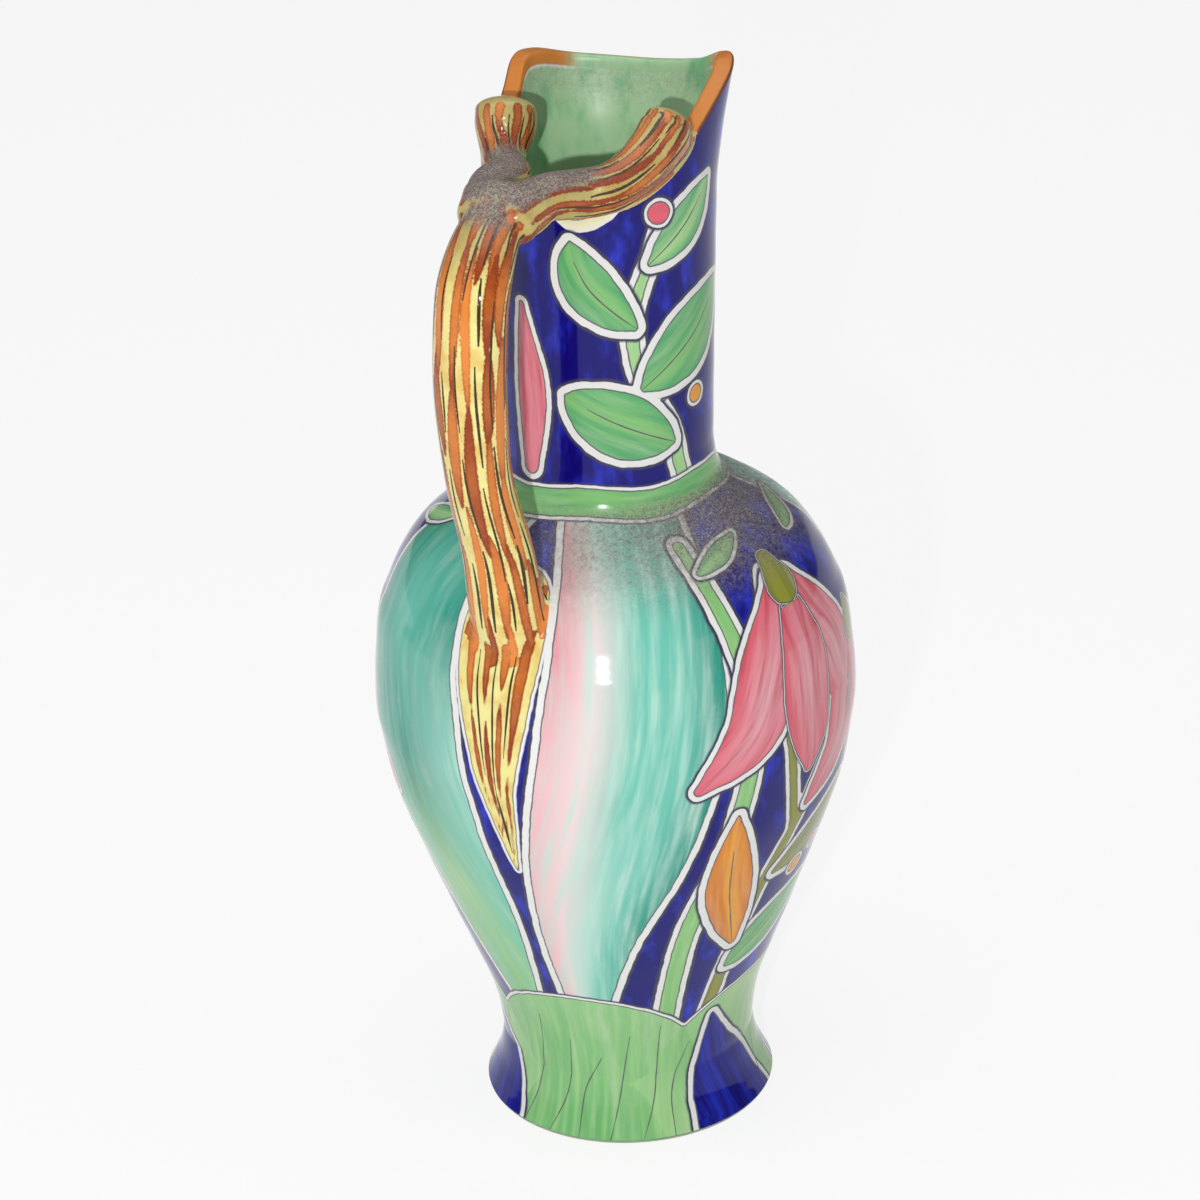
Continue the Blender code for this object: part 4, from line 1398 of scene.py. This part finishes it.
def nearest_stroke(points, normals, marks):
    """How far along the surface points lie outside the nearest mark, in mm, with its tone."""
    best = np.full(len(points), FAR)
    tone = np.zeros(len(points))
    along = np.zeros(len(points))
    for path, half, value in marks:
        reach = half.max() + STROKE_DEPTH
        near = np.flatnonzero(np.all((points > path.min(axis=0) - reach)
                                     & (points < path.max(axis=0) + reach), axis=1))
        if not len(near):
            continue
        p = points[near]
        pieces_count = len(path) - 1
        for n, (a, b) in enumerate(zip(path, path[1:])):
            way = b - a
            squared = max(way @ way, 1e-12)
            t = np.clip((p - a) @ way / squared, 0, 1)
            offset = p - (a + t[:, None] * way)
            out = np.einsum("ij,ij->i", offset, normals[near])
            gap = np.linalg.norm(offset - out[:, None] * normals[near], axis=1)
            gap = (gap - half[n] - t * (half[n + 1] - half[n])) / MM
            gap[np.abs(out) > STROKE_DEPTH] = FAR
            closer = gap < best[near]
            best[near[closer]] = gap[closer]
            tone[near[closer]] = value
            along[near[closer]] = ((n + t) / pieces_count)[closer]
    return best, tone, along


def bark_material():
    material, tree, shader = new_material("bark_glaze")
    place = tree.nodes.new("ShaderNodeTexCoord").outputs["Object"]
    dust, slip, _ = parts(tree, "extra")
    fine = cloud(tree, place, 1100.0)
    wobble = maths(tree, "MULTIPLY", maths(tree, "SUBTRACT", fine, 0.5), WOBBLE)
    colour = mix(tree, slip, bark_colour(tree, place, wobble), THIN_SLIP)
    colour, roughness = dusted(tree, colour, dust, place)
    finish_glaze(tree, shader, colour, roughness, cloud(tree, place, 240.0, 3.0), 0.3)
    return material


def root_strokes(rng):
    """Seeded strokes down the painted root, in the same form as those of the branch."""
    paint, lines = [], []
    rows = smooth_path(ROOT, 10)
    for column in range(7):
        side = (column + 1) / 4 - 1
        is_line = column % 2 == 1
        start = 0.22 if is_line else rng.uniform(0, 0.08)
        last = 0.92 if column == 3 else 0.60
        while start < (last - 0.1 if is_line else 0.90):
            finish = start + rng.uniform(0.28, 0.55)
            finish = min(finish, last if is_line else 1.0)
            along = np.linspace(start, finish, STROKE_STEPS) * (len(rows) - 1)
            a, z, w = (np.interp(along, np.arange(len(rows)), rows[:, n]) for n in range(3))
            radius = np.interp(z * MM, OUTLINE[:, 1], OUTLINE[:, 0])
            path = pot_point(a + np.degrees(0.9 * side * w * MM / radius), z * MM)
            if is_line:
                half = np.sin(np.linspace(0.3, 2.9, STROKE_STEPS))
                lines.append((path, tapered(rng.uniform(*ROOT_INK_HALF_WIDTHS) * half)))
            else:
                half = 0.25 * w * rng.uniform(0.36, 0.60) * MM * STROKE_SWELL
                paint.append((path, half, rng.uniform(0, 1)))
            start = finish + rng.uniform(0.01, 0.05)
    return paint, lines


FORK_PLACE = np.array([-0.052, 0.0, FORK_HEIGHT + 0.008])
FORK_DUST = 1.5
FORK_DUST_FADES = (0.014, 0.037)
TWIG_DUST = 0.60
OLIVE_SHARE = 0.55
OLIVE_STARTS = (FORK_HEIGHT - 0.022, FORK_HEIGHT - 0.002)
SLIP_STARTS = (0.33, 0.34)
SLIP_FILLET = (0.0002, 0.0012)
SLIP_WALL = (0.0012, 0.0035)
SLIP_FADES = (-0.040, -0.030)


def bark_finish(points, gradients, olive):
    """Dust in the fork and slip on the fillets at the mouth, for each point of the branch."""
    branch_only = np.minimum.reduce([tube_distance(points, shape) for shape in TUBES])
    slip = smoothstep(branch_only, *SLIP_FILLET) * smoothstep(points[:, 2], *SLIP_STARTS)
    slip *= 1 - smoothstep(wall_distance(points), *SLIP_WALL)
    slip *= 1 - smoothstep(points[:, 0], *SLIP_FADES)
    facing = gradients[:, 2]
    fork_gap = np.linalg.norm(points - FORK_PLACE, axis=1)
    dust = FORK_DUST * smoothstep(facing, 0.18, 0.85)
    dust *= 1 - smoothstep(fork_gap, *FORK_DUST_FADES)
    dust = np.maximum(dust, TWIG_DUST * olive * smoothstep(facing, -0.5, 0.5))
    return np.stack([dust, slip, 0 * slip], axis=1)


BARK = bark_material()
rng = np.random.default_rng(SEED)
bark_marks = bark_strokes(rng)
ink_marks = ink_strokes(rng)
root_marks, root_lines = root_strokes(rng)
for node_name, (item, points) in make_branch().items():
    gradients = unit(branch_gradient(points))
    olive = OLIVE_SHARE * smoothstep(points[:, 2], *OLIVE_STARTS)
    set_bark(item, points, gradients, bark_marks + root_marks, ink_marks + root_lines, olive)
    set_attribute(item, "extra", bark_finish(points, gradients, olive))
    item.data.materials.append(BARK)
    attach(item, "root")
    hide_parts(node_name)

for item in pieces.values():
    paint_root(item, root_marks + bark_marks, root_lines)


# Camera: fitted to the photo in a frame where it looks along +Y, then turned to the part's frame
LENS = 109.98
PITCH = 0.4325121
YAW = -0.00366437
ROLL = -0.04086584
CAMERA_PLACE = Vector((0.0, -1.2, 0.75071))
CAMERA_TURN = math.radians(-60)
SENSOR_WIDTH = 36.0


def make_camera():
    forward = Vector((
        math.sin(YAW) * math.cos(PITCH), math.cos(YAW) * math.cos(PITCH), -math.sin(PITCH)))
    right = forward.cross(Vector((0, 0, 1))).normalized()
    up = right.cross(forward)
    tilted_right = math.cos(ROLL) * right + math.sin(ROLL) * up
    tilted_up = -math.sin(ROLL) * right + math.cos(ROLL) * up
    turned = Matrix((tilted_right, tilted_up, -forward)).transposed().to_4x4()
    turned.translation = CAMERA_PLACE
    data = bpy.data.cameras.new("camera")
    data.lens = LENS
    data.sensor_width = SENSOR_WIDTH
    camera = add_object("camera", data)
    camera.matrix_world = Matrix.Rotation(CAMERA_TURN, 4, "Z") @ turned
    bpy.context.scene.camera = camera
    return camera


camera = make_camera()

# Floor, lamps and world
FLOOR_REACH = 30.0
FLOOR_COLOUR = (0.90, 0.90, 0.90)
WHITENED = 0.84
MIDDLE = Vector((0, 0, 0.2))
HIGHLIGHT = (27.0, 0.210)
FLASH_AWAY = 1.5
FLASH_SIZE = 0.035
FLASH_POWER = 13
WORLD_LIGHT = 0.18


def make_floor():
    """A pale floor that shows nearly white, and still shows the shadow."""
    mesh = bpy.data.meshes.new("studio_floor")
    corners = [(-1, -1), (1, -1), (1, 1), (-1, 1)]
    mesh.from_pydata([(x * FLOOR_REACH, y * FLOOR_REACH, 0) for x, y in corners], [], [range(4)])
    material, tree, shader = new_material("pale_floor")
    shader.inputs["Base Color"].default_value = (*FLOOR_COLOUR, 1)
    shader.inputs["Roughness"].default_value = 0.9
    rays = tree.nodes.new("ShaderNodeLightPath").outputs
    seen = maths(tree, "MAXIMUM", rays["Is Camera Ray"], rays["Is Glossy Ray"])
    seen = maths(tree, "MAXIMUM", seen, rays["Is Transmission Ray"])
    white = node(tree, "ShaderNodeEmission", in_Strength=1.0).outputs[0]
    shown = node(tree, "ShaderNodeMixShader", in_0=maths(tree, "MULTIPLY", seen, WHITENED),
                 in_1=shader.outputs[0], in_2=white)
    tree.links.new(shown.outputs[0], tree.nodes["Material Output"].inputs["Surface"])
    mesh.materials.append(material)
    floor = add_object("studio_floor", mesh)


def area_light(name, place, size, power):
    """A round lamp that shines at the middle of the pot."""
    data = bpy.data.lights.new(name, "AREA")
    data.shape = "DISK"
    data.size = size
    data.energy = power
    light = add_object(name, data)
    light.location = place
    light.rotation_euler = (MIDDLE - place).to_track_quat("-Z", "Y").to_euler()


def flash_place():
    """Where a lamp stands for its highlight to lie at one point on the shoulder."""
    spot = pot_point(HIGHLIGHT[0], HIGHLIGHT[1])
    step_a = pot_point(HIGHLIGHT[0] + 0.5, HIGHLIGHT[1]) - spot
    step_h = pot_point(HIGHLIGHT[0], HIGHLIGHT[1] + 0.0005) - spot
    normal = Vector(np.cross(step_a, step_h)).normalized()
    spot = Vector(spot)
    back = (camera.matrix_world.translation - spot).normalized()
    return spot + FLASH_AWAY * (2 * normal.dot(back) * normal - back)


make_floor()
view_back = (camera.matrix_world.translation - MIDDLE).normalized()
view_right = camera.matrix_world.to_3x3() @ Vector((1, 0, 0))
area_light("flash", flash_place(), FLASH_SIZE, FLASH_POWER)

# Lamps by how far they stand to the right, nearer and higher, with their size and watts
for name, right, nearer, higher, size, power in (
    ("left_fill", -2.0, 0.9, 0.9, 2.6, 9),
    ("right_fill", 2.0, 0.9, 0.9, 2.6, 1.5),
    ("top", 0.0, 0.0, 4.0, 4.5, 80),
):
    place = MIDDLE + right * view_right + nearer * view_back + Vector((0, 0, higher))
    area_light(name, place, size, power)


def make_world():
    world = bpy.data.worlds.new("studio")
    world.use_nodes = True
    background = world.node_tree.nodes["Background"]
    background.inputs["Color"].default_value = (1, 1, 1, 1)
    background.inputs["Strength"].default_value = WORLD_LIGHT
    bpy.context.scene.world = world


make_world()
bpy.context.scene.view_settings.view_transform = "Standard"
